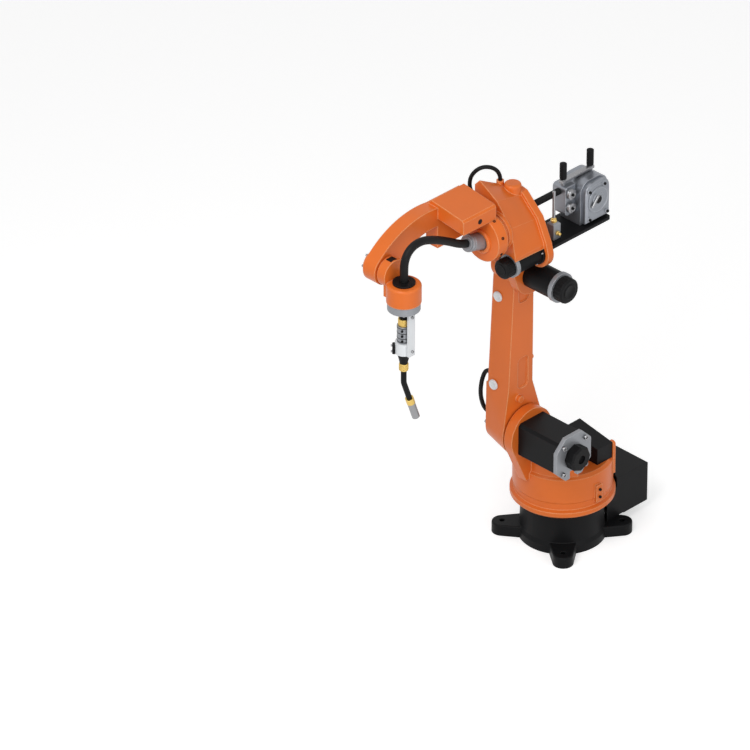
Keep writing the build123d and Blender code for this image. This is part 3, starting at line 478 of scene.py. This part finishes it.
def rectangle(half_x, half_y):
    """The outline of a rectangle round the middle."""
    return [(-half_x, -half_y), (half_x, -half_y), (half_x, half_y), (-half_x, half_y)]


print("plates with rims of", RIM_SEGMENTS, "segments")

# %% [markdown]
# Every small piece sits on a face or round an axis of a CAD part. Those places are measured from the frame
# and not typed, so that a screw stays on its cover when the cover moves.

# %% Places
FORWARD, BACKWARD = (1, 0, 0), (-1, 0, 0)
LEFT, RIGHT = (0, 1, 0), (0, -1, 0)
UP, DOWN = (0, 0, 1), (0, 0, -1)


def to_mm(point):
    """A point of the frame in millimetres, to a tenth, as on a drawing."""
    return Vector([round(value / MM, 1) for value in point])


def corners(node_name):
    """The lowest and the highest corner of a CAD node, in millimetres."""
    low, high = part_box(node_name)
    return to_mm(low), to_mm(high)


def face_middle(node_name, axis):
    """The middle of the side of a CAD node's box that looks along an axis, in millimetres."""
    low, high = corners(node_name)
    return (low + high) / 2 + (high - low) / 2 * Vector(axis)


JOINT_AT = {joint["name"]: to_mm(joint["pos_m"]) for joint in frame["joints"]}
print("joints at", {name: tuple(place) for name, place in JOINT_AT.items()})

# %% [markdown]
# Shapes that share a finish and a body become one object, so that the arm doesn't fall apart into hundreds
# of small ones, and the object rides on that body. Its faces are shaded smooth, but edges that turn by
# more than an angle stay crisp, as on machined parts.

# %% Pieces
SHARP_ANGLE = math.radians(35)


def piece(name, bm, body, slot):
    """Turn the shapes into one object with its finish, on the body that carries it."""
    bmesh.ops.recalc_face_normals(bm, faces=bm.faces[:])
    mesh = bpy.data.meshes.new(name)
    bm.to_mesh(mesh)
    bm.free()
    mesh.shade_smooth()
    mesh.set_sharp_from_angle(angle=SHARP_ANGLE)
    mesh.materials.append(FINISHES[slot])
    made = bpy.data.objects.new(name, mesh)
    bpy.context.collection.objects.link(made)
    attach(made, body)
    print(name, len(mesh.polygons), "faces on", body)
    return made


print("edges stay crisp above", round(math.degrees(SHARP_ANGLE)), "degrees")

# %% [markdown]
# A cap screw is the piece that comes back most often, alone or in a ring round a bearing. Its head is turned,
# with a sunk socket at its end. The sizes are shares of the screw's size, as in a table of standard screws.

# %% Cap screws
SCREW_SIDES = 18
# The head with its socket: radius and height in shares of the screw's size.
SCREW_HEAD = [(0.78, 0), (0.78, 0.8), (0.7, 0.92), (0.5, 0.92), (0.46, 0.88), (0.46, 0.45)]


def socket_screw(bm, point, axis, size):
    """A cap screw: a round head with a socket sunk in its end."""
    head = [(radius * size, height * size) for radius, height in SCREW_HEAD]
    lathe(bm, head, placed(point, axis), SCREW_SIDES)


def screw_ring(bm, centre, axis, count, radius, size, start=0.0):
    """Cap screws on a circle round one of the frame's own axes."""
    first, second = [Vector(way) for way in (FORWARD, LEFT, UP) if Vector(way).dot(Vector(axis)) == 0]
    for a, b in ring_of(count, radius, start):
        socket_screw(bm, centre + first * a + second * b, axis, size)


print("cap screws with", SCREW_SIDES, "sides")

# %% [markdown]
# Each cable is a fixed length of rubber that leaves its gland straight and then bends as wide as it can. A
# curve with a round bevel makes the tube, and it is turned into a mesh that can ride on a body.
# The route's points are control points of a smooth spline, so the tube has no kinks.

# %% Cable helper
SPLINE_ORDER = 3
STEPS_PER_POINT = 12
TUBE_ROUNDNESS = 6


def cable(name, route, radius, body):
    """A round tube along a smooth spline with the route's points as control points."""
    curve = bpy.data.curves.new(name, "CURVE")
    curve.dimensions = "3D"
    curve.bevel_depth = radius * MM
    curve.bevel_resolution = TUBE_ROUNDNESS
    curve.use_fill_caps = True
    spline = curve.splines.new("NURBS")
    spline.points.add(len(route) - 1)
    for point, (x, y, z) in zip(spline.points, route):
        point.co = (x * MM, y * MM, z * MM, 1)
    spline.order_u = SPLINE_ORDER
    spline.use_endpoint_u = True
    spline.resolution_u = STEPS_PER_POINT
    holder = bpy.data.objects.new(name + "_route", curve)
    bpy.context.collection.objects.link(holder)
    mesh = bpy.data.meshes.new_from_object(holder.evaluated_get(bpy.context.evaluated_depsgraph_get()))
    bpy.data.objects.remove(holder)
    mesh.name = name
    mesh.shade_smooth()
    mesh.materials.clear()
    mesh.materials.append(FINISHES["rubber"])
    tube = bpy.data.objects.new(name, mesh)
    bpy.context.collection.objects.link(tube)
    if body:
        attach(tube, body)
    print(name, len(mesh.polygons), "faces")
    return tube


print("cables on splines of order", SPLINE_ORDER)

# %% [markdown]
# Three cables run outside the castings: the torch cable beside the forearm's horn, a loop on the elbow and
# one along the lower arm's side. Their routes are the ones the CAD model uses. The torch cable crosses the
# wrist's tilt axis; it is baked in place and rides on no body.

# %% The three cables
TORCH_CABLE_R = 13.0
LOOP_CABLE_R = 6.5
ARM_CABLE_R = 7.0
TORCH_ROUTE = [(434.39, 0, 1236.05), (461.43, 0, 1243.29), (520, 0, 1280), (580, 0, 1311), (634, 0, 1330),
               (680, 0, 1322), (704, 0, 1290), (706, 0, 1240), (706, 0, 1202)]
LOOP_ROUTE = [(206, -84, 1328), (206, -84, 1350), (230, -92, 1380), (262, -112, 1386), (280, -134, 1358),
              (282, -142, 1322), (280, -134, 1294), (280, -112, 1294)]
ARM_ROUTE = [(180, -140, 606), (180, -160, 606), (190, -170, 572), (198, -170, 522), (186, -170, 474),
             (168, -170, 444), (150, -168, 430), (150, -150, 430)]

torch_tube = cable("torch_hose", TORCH_ROUTE, TORCH_CABLE_R, None)
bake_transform(torch_tube)
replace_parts(torch_tube, "torch_cable")
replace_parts(cable("elbow_loop_tube", LOOP_ROUTE, LOOP_CABLE_R, "elbow"), "elbow_loop_cable")
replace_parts(cable("arm_side_tube", ARM_ROUTE, ARM_CABLE_R, "lower_arm"), "arm_cable")

# %% [markdown]
# The wire hose between the feeder and the elbow is a corrugated sleeve. On the lathe that is one profile
# whose radius goes up and down, which is cheaper than an array of rings and keeps a single skin.

# %% Corrugated wire hose
HOSE_PITCH = 4.5
HOSE_RIDGE = [(9.2, 0), (9.2, 1.2), (11.0, 1.9), (11.0, 3.8)]

hose_low, hose_high = corners("feeder_hose")
ridges = round((hose_high.x - hose_low.x) / HOSE_PITCH)
bm = bmesh.new()
lathe(bm, repeated(HOSE_RIDGE, HOSE_PITCH, ridges), placed(face_middle("feeder_hose", BACKWARD), FORWARD))
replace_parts(piece("wire_hose", bm, "elbow", "rubber"), "feeder_hose")

# %% [markdown]
# The elbow and roll motors end in a cap with fins round its rim and a raised ring on its face. The fins are
# thin plates set round a circle, because a bump texture would leave the rim's outline round.

# %% Motor caps
FIN_COUNT = 20
FIN_ROOT, FIN_STAND = 2, 1
FIN_HALF_W = 2.4
FIN_SHORT = 6
FIN_RIM = 0.5
# The ring on a cap's face: radius in shares of the cap's, height from the cap's end.
FACE_RING = [(0.62, -0.5), (0.62, 1.2), (0.55, 1.8), (0.5, 0.6)]

bm = bmesh.new()
for node_name, axis, inward in (("elbow_motor_cap", LEFT, RIGHT), ("roll_motor_cap", FORWARD, BACKWARD)):
    low, high = corners(node_name)
    length = (high - low).dot(Vector(axis))
    radius = (high.z - low.z) / 2
    root, tip = radius - FIN_ROOT, radius + FIN_STAND
    fin = [(root, -FIN_HALF_W), (tip, -FIN_HALF_W), (tip, FIN_HALF_W), (root, FIN_HALF_W)]
    place = placed(face_middle(node_name, inward), axis)
    plates_round(bm, fin, length - FIN_SHORT, place, FIN_RIM, FIN_COUNT)
    lathe(bm, [(radius * share, length + rise) for share, rise in FACE_RING], place)
piece("motor_cap_fins", bm, "elbow", "black_plastic")

# %% [markdown]
# The shoulder motor's end plate is held by four bright cap screws at its corners. The roll motor stands on a
# round black mount with screws of its own, one of which glints beside the elbow casting's flange in the
# photo. A picture of screws would be flat and could not catch the light, so they are real heads.

# %% Motor screws and mount
END_SCREW_STEP = 48
END_SCREW_SIZE = 10
MOUNT_GAP = 0.2
MOUNT_T = 8
MOUNT_PROFILE = [(33, 0), (39.4, 0), (39.4, 7), (38.6, MOUNT_T), (33, MOUNT_T)]
MOUNT_SIDES = 40
MOUNT_SCREWS, MOUNT_SCREW_R, MOUNT_SCREW_SIZE = 4, 36.8, 4
MOUNT_SCREW_START = math.radians(20)

end_plate = face_middle("shoulder_motor_end_plate", LEFT)
bm = bmesh.new()
for x in (-END_SCREW_STEP, END_SCREW_STEP):
    for z in (-END_SCREW_STEP, END_SCREW_STEP):
        socket_screw(bm, end_plate + Vector((x, 0, z)), LEFT, END_SCREW_SIZE)
piece("end_plate_screws", bm, "turret", "steel")

motor_foot = face_middle("roll_motor_body", BACKWARD)
bm = bmesh.new()
screw_ring(bm, motor_foot + Vector((MOUNT_T, 0, 0)), FORWARD, MOUNT_SCREWS, MOUNT_SCREW_R, MOUNT_SCREW_SIZE,
           MOUNT_SCREW_START)
piece("roll_motor_screws", bm, "elbow", "steel")
bm = bmesh.new()
lathe(bm, MOUNT_PROFILE, placed(motor_foot + Vector((MOUNT_GAP, 0, 0)), FORWARD), MOUNT_SIDES)
piece("roll_motor_mount", bm, "elbow", "black_paint")

# %% [markdown]
# Covers on the arm's right side are held by rings of cap screws, like the tool flange. The photo doesn't
# show that side, so it gets what such arms have: one ring on each bearing cover and nothing more. The
# rings differ only in numbers, so each is a row of a table and one loop makes them all.

# %% Cover screws
# For each ring: its body, the cover that carries it, the way it looks, the count, the ring's radius and
# the screws' size.
COVER_RINGS = {
    "hub_cover_screws": ("lower_arm", "shoulder_hub_cover", RIGHT, 6, 48.0, 8),
    "horn_cover_screws": ("forearm", "horn_end_cover", RIGHT, 6, 34.0, 6),
    "tool_flange_screws": ("tool", "tool_flange", DOWN, 8, 41.0, 6),
}

for name, (body, cover, axis, count, radius, size) in COVER_RINGS.items():
    bm = bmesh.new()
    screw_ring(bm, face_middle(cover, axis), axis, count, radius, size)
    piece(name, bm, body, "steel")

# %% [markdown]
# The wire feeder is the busiest part. Its die-cast gearbox has a round gear chamber on its near side, pads
# for screws at the corners and ribs on its back. Rims and pads are turned and ribs are plates, so the two
# helpers make them all, as one piece in the casting's finish.

# %% Feeder door and ribs
DOOR_RISE = 4
DOOR_SINK = 0.5
DOOR_PROFILE = [(45, 0), (45, 2.0), (43.5, 3.0), (40, 3.0), (38.5, 1.6), (24, 1.0), (22.5, 3.0), (15, 3.4),
                (13.5, 1.4)]
DOOR_SIDES = 48
# The places of the door's screws, across and up from its middle.
DOOR_SCREWS = ((-38, -56), (40, -56), (41, 42), (-24, 48))
PAD_PROFILE = [(9, 0), (8.4, 2.4), (7.4, 3.0)]
PAD_SIDES = 24
RIB_COUNT, RIB_PITCH, RIB_LOWEST = 5, 22, -41
RIB_HALF_L, RIB_HALF_W, RIB_T, RIB_RIM = 34, 2.2, 3.5, 1.2
RIB_SINK = 0.8

door = face_middle("feeder_cover", LEFT) + Vector((0, 0, DOOR_RISE))
feeder_back = face_middle("feeder_housing", BACKWARD)
bm = bmesh.new()
lathe(bm, DOOR_PROFILE, placed(door - Vector((0, DOOR_SINK, 0)), LEFT), DOOR_SIDES)
for x, z in DOOR_SCREWS:
    lathe(bm, PAD_PROFILE, placed(door + Vector((x, -DOOR_SINK, z)), LEFT), PAD_SIDES)
for i in range(RIB_COUNT):
    rib = placed(feeder_back + Vector((RIB_SINK, 0, RIB_LOWEST + RIB_PITCH * i)), BACKWARD)
    plate(bm, rectangle(RIB_HALF_L, RIB_HALF_W), RIB_T, rib, RIB_RIM)
piece("feeder_door_rims", bm, "elbow", "silver_cast")

# %% [markdown]
# Dark screws sit on the door's pads and a dark hub in its middle, with a bright latch beside it. They are
# pieces of their own, because one piece has one finish.

# %% Door screws and latch
DOOR_SCREW_SIZE = 6
DOOR_SCREW_STAND = 1.5
HUB_PROFILE = [(12, 0), (12, 3.2), (11, 4.0)]
LATCH_SHIFT = Vector((18.5, 2.5, 1))
LATCH_TURN = math.radians(51)
LATCH_OUTLINE = [(-22, -4), (14, -4), (22, -6), (22, 6), (14, 4), (-22, 4)]
LATCH_T, LATCH_RIM = 5.0, 1.2

bm = bmesh.new()
for x, z in DOOR_SCREWS:
    socket_screw(bm, door + Vector((x, DOOR_SCREW_STAND, z)), LEFT, DOOR_SCREW_SIZE)
lathe(bm, HUB_PROFILE, placed(door, LEFT), PAD_SIDES)
piece("feeder_door_screws", bm, "elbow", "black_plastic")

bm = bmesh.new()
latch = placed(door + LATCH_SHIFT, LEFT) @ Matrix.Rotation(LATCH_TURN, 4, "Z")
plate(bm, LATCH_OUTLINE, LATCH_T, latch, LATCH_RIM)
piece("feeder_latch", bm, "elbow", "steel")

# %% [markdown]
# In front of the gearbox two grooved rollers push the wire, and a bar across the two tension posts presses
# them together. The grooves are in the rollers' profile, so nothing has to be cut out of them.

# %% Rollers and pressure bar
BAR_RISE = 8
BAR_OUTLINE = [(-73, -8), (-45, -10), (45, -10), (73, -8), (73, 8), (45, 10), (-45, 10), (-73, 8)]
BAR_T, BAR_RIM = 12.0, 2.5
ROLLER_HEIGHTS = (-25, 23)
ROLLER_SINK = 0.5
ROLLER_RIDGE = [(17.0, 0), (17.0, 1.1), (15.6, 1.5)]
ROLLER_RIDGES, ROLLER_PITCH = 6, 2.0
ROLLER_FACE = [(10, 12.4), (9, 10.5)]
ROLLER_SIDES = 30

posts = face_middle("feeder_tension_posts", DOWN)
drive = face_middle("feeder_drive_block", LEFT)
roller = repeated(ROLLER_RIDGE, ROLLER_PITCH, ROLLER_RIDGES) + ROLLER_FACE
bm = bmesh.new()
plate(bm, BAR_OUTLINE, BAR_T, placed(posts + Vector((0, 0, BAR_RISE)), UP), BAR_RIM)
for z in ROLLER_HEIGHTS:
    lathe(bm, roller, placed(drive + Vector((0, -ROLLER_SINK, z)), LEFT), ROLLER_SIDES)
piece("feeder_pressure_bar", bm, "elbow", "steel")

# %% [markdown]
# The posts end in black grips with rings that a thumb can hold, and a black screw keeps each roller on its
# shaft. Rings that overlap the CAD grip by a little need no cut, and both sorts share one finish.

# %% Grip rings and roller screws
ROLLER_SCREW_SIZE = 6
ROLLER_SCREW_STAND = 9
GRIP_STEP = 59.5
GRIP_RINGS, GRIP_PITCH = 9, 5.6
GRIP_RING = [(11.0, 4), (11.5, 5), (11.5, 7), (11.0, 8)]
GRIP_SIDES = 20

grips = face_middle("feeder_grips", DOWN)
bm = bmesh.new()
for z in ROLLER_HEIGHTS:
    socket_screw(bm, drive + Vector((0, ROLLER_SCREW_STAND, z)), LEFT, ROLLER_SCREW_SIZE)
for x in (GRIP_STEP, -GRIP_STEP):
    for i in range(GRIP_RINGS):
        ring = [(radius, height + GRIP_PITCH * i) for radius, height in GRIP_RING]
        lathe(bm, ring, placed(grips + Vector((x, 0, 0)), UP), GRIP_SIDES)
piece("feeder_grip_rings", bm, "elbow", "black_plastic")

# %% [markdown]
# A gas valve stands on the feeder's plate. Its brass fittings are two hexagon nuts round the gas tube and a
# spout on the near side. All three come from the lathe, because a hexagon is only a turned part with six
# sides.

# %% Gas valve fittings
HEXAGON = 6
VALVE_NUT = [(10, 0), (10, 7), (8.5, 8.5)]
VALVE_NUT_SINK = 0.5
TUBE_NUT = [(8, 0), (8, 6), (6.8, 7.2)]
TUBE_NUT_RISE = 7
SPOUT = [(7.5, 0), (7.5, 5), (5, 5.5), (5, 9), (6, 10), (4.4, 14)]
SPOUT_SINK, SPOUT_DROP = 0.5, 6
SPOUT_SIDES = 20

valve_top = face_middle("feeder_valve", UP)
valve_side = face_middle("feeder_valve", LEFT)
bm = bmesh.new()
lathe(bm, VALVE_NUT, placed(valve_top - Vector((0, 0, VALVE_NUT_SINK)), UP), HEXAGON)
lathe(bm, TUBE_NUT, placed(valve_top + Vector((0, 0, TUBE_NUT_RISE)), UP), HEXAGON)
lathe(bm, SPOUT, placed(valve_side - Vector((0, SPOUT_SINK, SPOUT_DROP)), LEFT), SPOUT_SIDES)
piece("gas_valve_fittings", bm, "elbow", "brass")

# %% [markdown]
# The torch hangs under the tool flange. Its union nut is a hexagon, and two of its brass collars are knurled
# so that a hand can turn them. The knurls are thin plates round a circle, like the motors' fins.

# %% Torch nut and knurls
NUT_PROFILE = [(13.4, 0), (15, 1.4), (15, 18.6), (13.4, 20)]
KNURL_COUNT = 28
KNURL_SINK, KNURL_STAND = 1, 0.9
KNURL_ROOT, KNURL_TIP = 1.0, 0.4
KNURL_RIM = 0.2
# For each knurled collar: the node above it, the knurls' drop from there, their length and the radius.
COLLARS = (("torch_nut", 22.5, 21, 17.0), ("torch_cone", 22.0, 20, 14.0))

bm = bmesh.new()
lathe(bm, NUT_PROFILE, placed(face_middle("torch_nut", DOWN), UP), HEXAGON)
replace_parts(piece("torch_union_nut", bm, "tool", "black_plastic"), "torch_nut")

bm = bmesh.new()
for node_name, drop, length, radius in COLLARS:
    root, tip = radius - KNURL_SINK, radius + KNURL_STAND
    knurl = [(root, -KNURL_ROOT), (tip, -KNURL_TIP), (tip, KNURL_TIP), (root, KNURL_ROOT)]
    place = placed(face_middle(node_name, DOWN) - Vector((0, 0, drop)), UP)
    plates_round(bm, knurl, length, place, KNURL_RIM, KNURL_COUNT)
piece("torch_collar_knurls", bm, "tool", "brass")

# %% [markdown]
# A split clamp holds the torch. Its black jaw is a plate on edge. Black rings and small screws mark the
# torch's body. They are turned, and because they share the jaw's finish and body they are one piece with it.

# %% Torch clamp
JAW_WAY = Vector((1, -1, 0)).normalized()
JAW_RISE, JAW_REACH = 14, 25
JAW_HALF_L, JAW_HALF_W, JAW_T, JAW_RIM = 17, 9, 10.0, 1.5
BODY_SCREWS, BODY_SCREW_RISE, BODY_SCREW_PITCH = 3, 10.5, 18
BODY_SCREW_REACH, BODY_SCREW_SIZE = 20.6, 5
BODY_SCREW_ANGLE = math.radians(32)
BODY_SCREW_WAY = Vector((math.cos(BODY_SCREW_ANGLE), math.sin(BODY_SCREW_ANGLE), 0))
BODY_RINGS = (4.5, 16.5, 34.5, 52.5)
BODY_RING = [(21.0, 0), (21.6, 0.5), (21.6, 1.9), (21.0, 2.4)]
BODY_RING_SIDES = 40

body_foot = face_middle("torch_body", DOWN)
jaw = face_middle("torch_clamp", DOWN) + Vector((0, 0, JAW_RISE))
bm = bmesh.new()
upright = placed(jaw + JAW_WAY * JAW_REACH, JAW_WAY) @ Matrix.Rotation(math.pi / 2, 4, "Z")
plate(bm, rectangle(JAW_HALF_L, JAW_HALF_W), JAW_T, upright, JAW_RIM)
for i in range(BODY_SCREWS):
    height = Vector((0, 0, BODY_SCREW_RISE + BODY_SCREW_PITCH * i))
    socket_screw(bm, body_foot + height + BODY_SCREW_WAY * BODY_SCREW_REACH, BODY_SCREW_WAY, BODY_SCREW_SIZE)
for rise in BODY_RINGS:
    lathe(bm, BODY_RING, placed(body_foot + Vector((0, 0, rise)), UP), BODY_RING_SIDES)
piece("torch_clamp_jaw", bm, "tool", "black_plastic")

# %% [markdown]
# Two bright screws close the jaw, and two more hold the white bracket. Steel is another finish than the
# jaw's, so they are a piece of their own, made with the cap screw helper.

# %% Torch clamp screws
JAW_SCREW_STEP, JAW_SCREW_SIZE = 10.5, 5
BRACKET_SCREW_STEP, BRACKET_SCREW_SIZE = 60.5, 6

bracket = face_middle("torch_bracket", LEFT)
bm = bmesh.new()
for z in (-JAW_SCREW_STEP, JAW_SCREW_STEP):
    socket_screw(bm, jaw + Vector((0, 0, z)) + JAW_WAY * (JAW_REACH + JAW_T), JAW_WAY, JAW_SCREW_SIZE)
for z in (-BRACKET_SCREW_STEP, BRACKET_SCREW_STEP):
    socket_screw(bm, bracket + Vector((0, 0, z)), LEFT, BRACKET_SCREW_SIZE)
piece("torch_clamp_screws", bm, "tool", "steel")

# %% [markdown]
# A black cap on the forearm's side is painted shade, standing for the dark inside of a hole there.
# Two dark screws sit on the turret's boss. Castings slope, so each one is seated where a ray meets the
# surface: typed places would float or sink when the casting changes.

# %% Painted hole shade and screws on sloping sides
RAY_REACH = 400
SIDE_HOLE_SHADE_X, SIDE_HOLE_SHADE_RISE = 79.5, 90
SIDE_HOLE_SHADE = [(8.5, -1), (8.5, 0.6), (7.6, 1.2), (6.6, 0.4)]
SIDE_HOLE_SHADE_SIDES = 24
BOSS_X, BOSS_RISES, BOSS_SCREW_SIZE = 5, (54.5, 81.5), 6


def seat(node_name, point, way):
    """Where a ray that goes one way through a point first meets a CAD node, in millimetres."""
    node = NODES[node_name]
    inverse = node.matrix_world.inverted()
    start = Vector(point) - Vector(way) * RAY_REACH
    found, place, _, _ = node.ray_cast(inverse @ (start * MM), inverse.to_3x3() @ Vector(way),
                                       depsgraph=bpy.context.evaluated_depsgraph_get())
    if not found:
        raise RuntimeError("no surface on " + node_name)
    return node.matrix_world @ place / MM


drum_back = corners("forearm_casting")[0].x
roll_z = JOINT_AT["roll"].z
bm = bmesh.new()
# The black cap is painted shade: it stands for the dark inside of a hole in the forearm's side.
hole_shade_seat = seat("forearm_casting", (drum_back + SIDE_HOLE_SHADE_X, 0, roll_z + SIDE_HOLE_SHADE_RISE), RIGHT)
lathe(bm, SIDE_HOLE_SHADE, placed(hole_shade_seat, LEFT), SIDE_HOLE_SHADE_SIDES)
piece("forearm_hole_shade", bm, "forearm", "black_plastic")

turret_foot = corners("turret_casting")[0].z
bm = bmesh.new()
for rise in BOSS_RISES:
    socket_screw(bm, seat("turret_casting", (BOSS_X, 0, turret_foot + rise), RIGHT), LEFT, BOSS_SCREW_SIZE)
piece("turret_boss_screws", bm, "turret", "black_plastic")

# %% [markdown]
# The lower arm has a small cast lug on its rear edge and two white plugs on its front. The plugs are CAD
# pieces; here they only get a dished face, so that they catch the light like moulded caps. The lug and
# the faces are turned, and rays find their seats as before.

# %% Lug and plug faces
LUG_Y, LUG_RISE = -44, 241
LUG_PROFILE = [(10, -2), (10, 6), (8.5, 8), (4, 8), (3.6, 5)]
LUG_SIDES = 28
PLUG_STEP = 156
PLUG_PROFILE = [(16, -0.5), (16, 0.6), (14.5, 1.4), (12.5, 1.4), (11, 0.5), (4, 0.3), (3, 1.0)]
PLUG_SIDES = 36

bm = bmesh.new()
lug = seat("lower_arm_casting", (0, LUG_Y, JOINT_AT["shoulder"].z + LUG_RISE), FORWARD)
lathe(bm, LUG_PROFILE, placed(lug, BACKWARD), LUG_SIDES)
piece("arm_rear_lug", bm, "lower_arm", "orange_paint")

plugs = face_middle("lower_arm_plugs", FORWARD)
bm = bmesh.new()
for z in (-PLUG_STEP, PLUG_STEP):
    face = seat("lower_arm_plugs", (0, plugs.y, plugs.z + z), BACKWARD)
    lathe(bm, PLUG_PROFILE, placed(face, FORWARD), PLUG_SIDES)
piece("plug_faces", bm, "lower_arm", "white_plastic")

# %% [markdown]
# The torch cable leaves the forearm's drum through a grey gland. Two raised rings and a mouth dress it, on
# its own slanted axis, and an orange collar stands round its root on the drum's face. All are turned,
# since the lathe can stand on any axis.

# %% Gland
DRUM_L = 40
GLAND_DROP = 8
GLAND_TILT = math.radians(15)
GLAND_WAY = Vector((math.cos(GLAND_TILT), 0, math.sin(GLAND_TILT)))
GLAND_RING = [(26.5, 0), (27.9, 0.8), (27.9, 4.2), (26.5, 5)]
GLAND_RINGS_AT = (46, 55)
MOUTH_PROFILE = [(22, 0), (22, 2.4), (19, 4), (14.5, 4)]
MOUTH_AT = 61.5
GLAND_SIDES = 48
COLLAR_DROP = 1
COLLAR_PROFILE = [(29, -1), (29, 5), (31, 7), (37, 7), (40, 4.5), (41, -1)]
COLLAR_SIDES = 56

gland = Vector((drum_back + DRUM_L, 0, roll_z - GLAND_DROP))
bm = bmesh.new()
for reach in GLAND_RINGS_AT:
    lathe(bm, GLAND_RING, placed(gland + GLAND_WAY * reach, GLAND_WAY), GLAND_SIDES)
lathe(bm, MOUTH_PROFILE, placed(gland + GLAND_WAY * MOUTH_AT, GLAND_WAY), GLAND_SIDES)
piece("gland_rings", bm, "forearm", "grey_metal")

bm = bmesh.new()
lathe(bm, COLLAR_PROFILE, placed(gland - Vector((0, 0, COLLAR_DROP)), FORWARD), COLLAR_SIDES)
piece("gland_collar", bm, "forearm", "orange_paint")

# %% [markdown]
# Dark screws sit round the drum's near side, sunk until their heads barely show. Each looks straight out
# from the roll axis, and a ray back towards that axis finds its seat.

# %% Drum screws
DRUM_SCREW_X = 20.5
DRUM_SCREW_SIZE = 6
DRUM_SCREW_SINK = 3
DRUM_SCREW_ANGLES = (62, 17, -28, -73)

drum_middle = Vector((drum_back + DRUM_SCREW_X, 0, roll_z))
bm = bmesh.new()
for degrees in DRUM_SCREW_ANGLES:
    outward = Vector((0, math.cos(math.radians(degrees)), math.sin(math.radians(degrees))))
    surface = seat("forearm_casting", drum_middle, -outward)
    socket_screw(bm, surface - outward * DRUM_SCREW_SINK, outward, DRUM_SCREW_SIZE)
piece("drum_screws", bm, "forearm", "black_plastic")

# %% [markdown]
# A flat black plate on the top of the wrist's knuckle is painted shade: it stands for the shade in the
# recess between the horn and the knuckle. It is one plate, sunk a little into the round casting so that no
# gap shows under its sides.

# %% Knuckle shade plate
KNUCKLE_SHADE_INSET, KNUCKLE_SHADE_SINK = 21.5, 2
KNUCKLE_SHADE_HALF_X, KNUCKLE_SHADE_HALF_Y = 13, 11
KNUCKLE_SHADE_T, KNUCKLE_SHADE_RIM = 2.6, 0.8

knuckle = face_middle("wrist_casting", UP) - Vector((0, 0, KNUCKLE_SHADE_SINK))
knuckle.y = corners("wrist_casting")[0].y + KNUCKLE_SHADE_INSET
bm = bmesh.new()
# The black plate is painted shade on the knuckle's top.
plate(bm, rectangle(KNUCKLE_SHADE_HALF_X, KNUCKLE_SHADE_HALF_Y), KNUCKLE_SHADE_T, placed(knuckle, UP),
      KNUCKLE_SHADE_RIM)
piece("knuckle_painted_shade", bm, "wrist", "black_plastic")

# %% [markdown]
# Each of the base's two sockets holds seven brass pins, six in a ring and one in the middle. They are turned
# one by one and end just inside the socket's rim. A flat disc with a picture of pins would look wrong from
# the side.

# %% Socket pins
SOCKET_STEP = 31
PIN_RING, PIN_RING_R = 6, 11.0
PIN_L, PIN_SINK = 6, 0.5
PIN_PROFILE = [(1.8, 0), (1.8, 5), (1.0, PIN_L)]
PIN_SIDES = 12

pin_foot = face_middle("base_sockets", BACKWARD) + Vector((PIN_SINK + PIN_L, 0, 0))
bm = bmesh.new()
for socket_y in (-SOCKET_STEP, SOCKET_STEP):
    for y, z in ring_of(PIN_RING, PIN_RING_R) + [(0, 0)]:
        lathe(bm, PIN_PROFILE, placed(pin_foot + Vector((0, socket_y + y, z)), BACKWARD), PIN_SIDES)
piece("socket_pins", bm, "base", "brass")
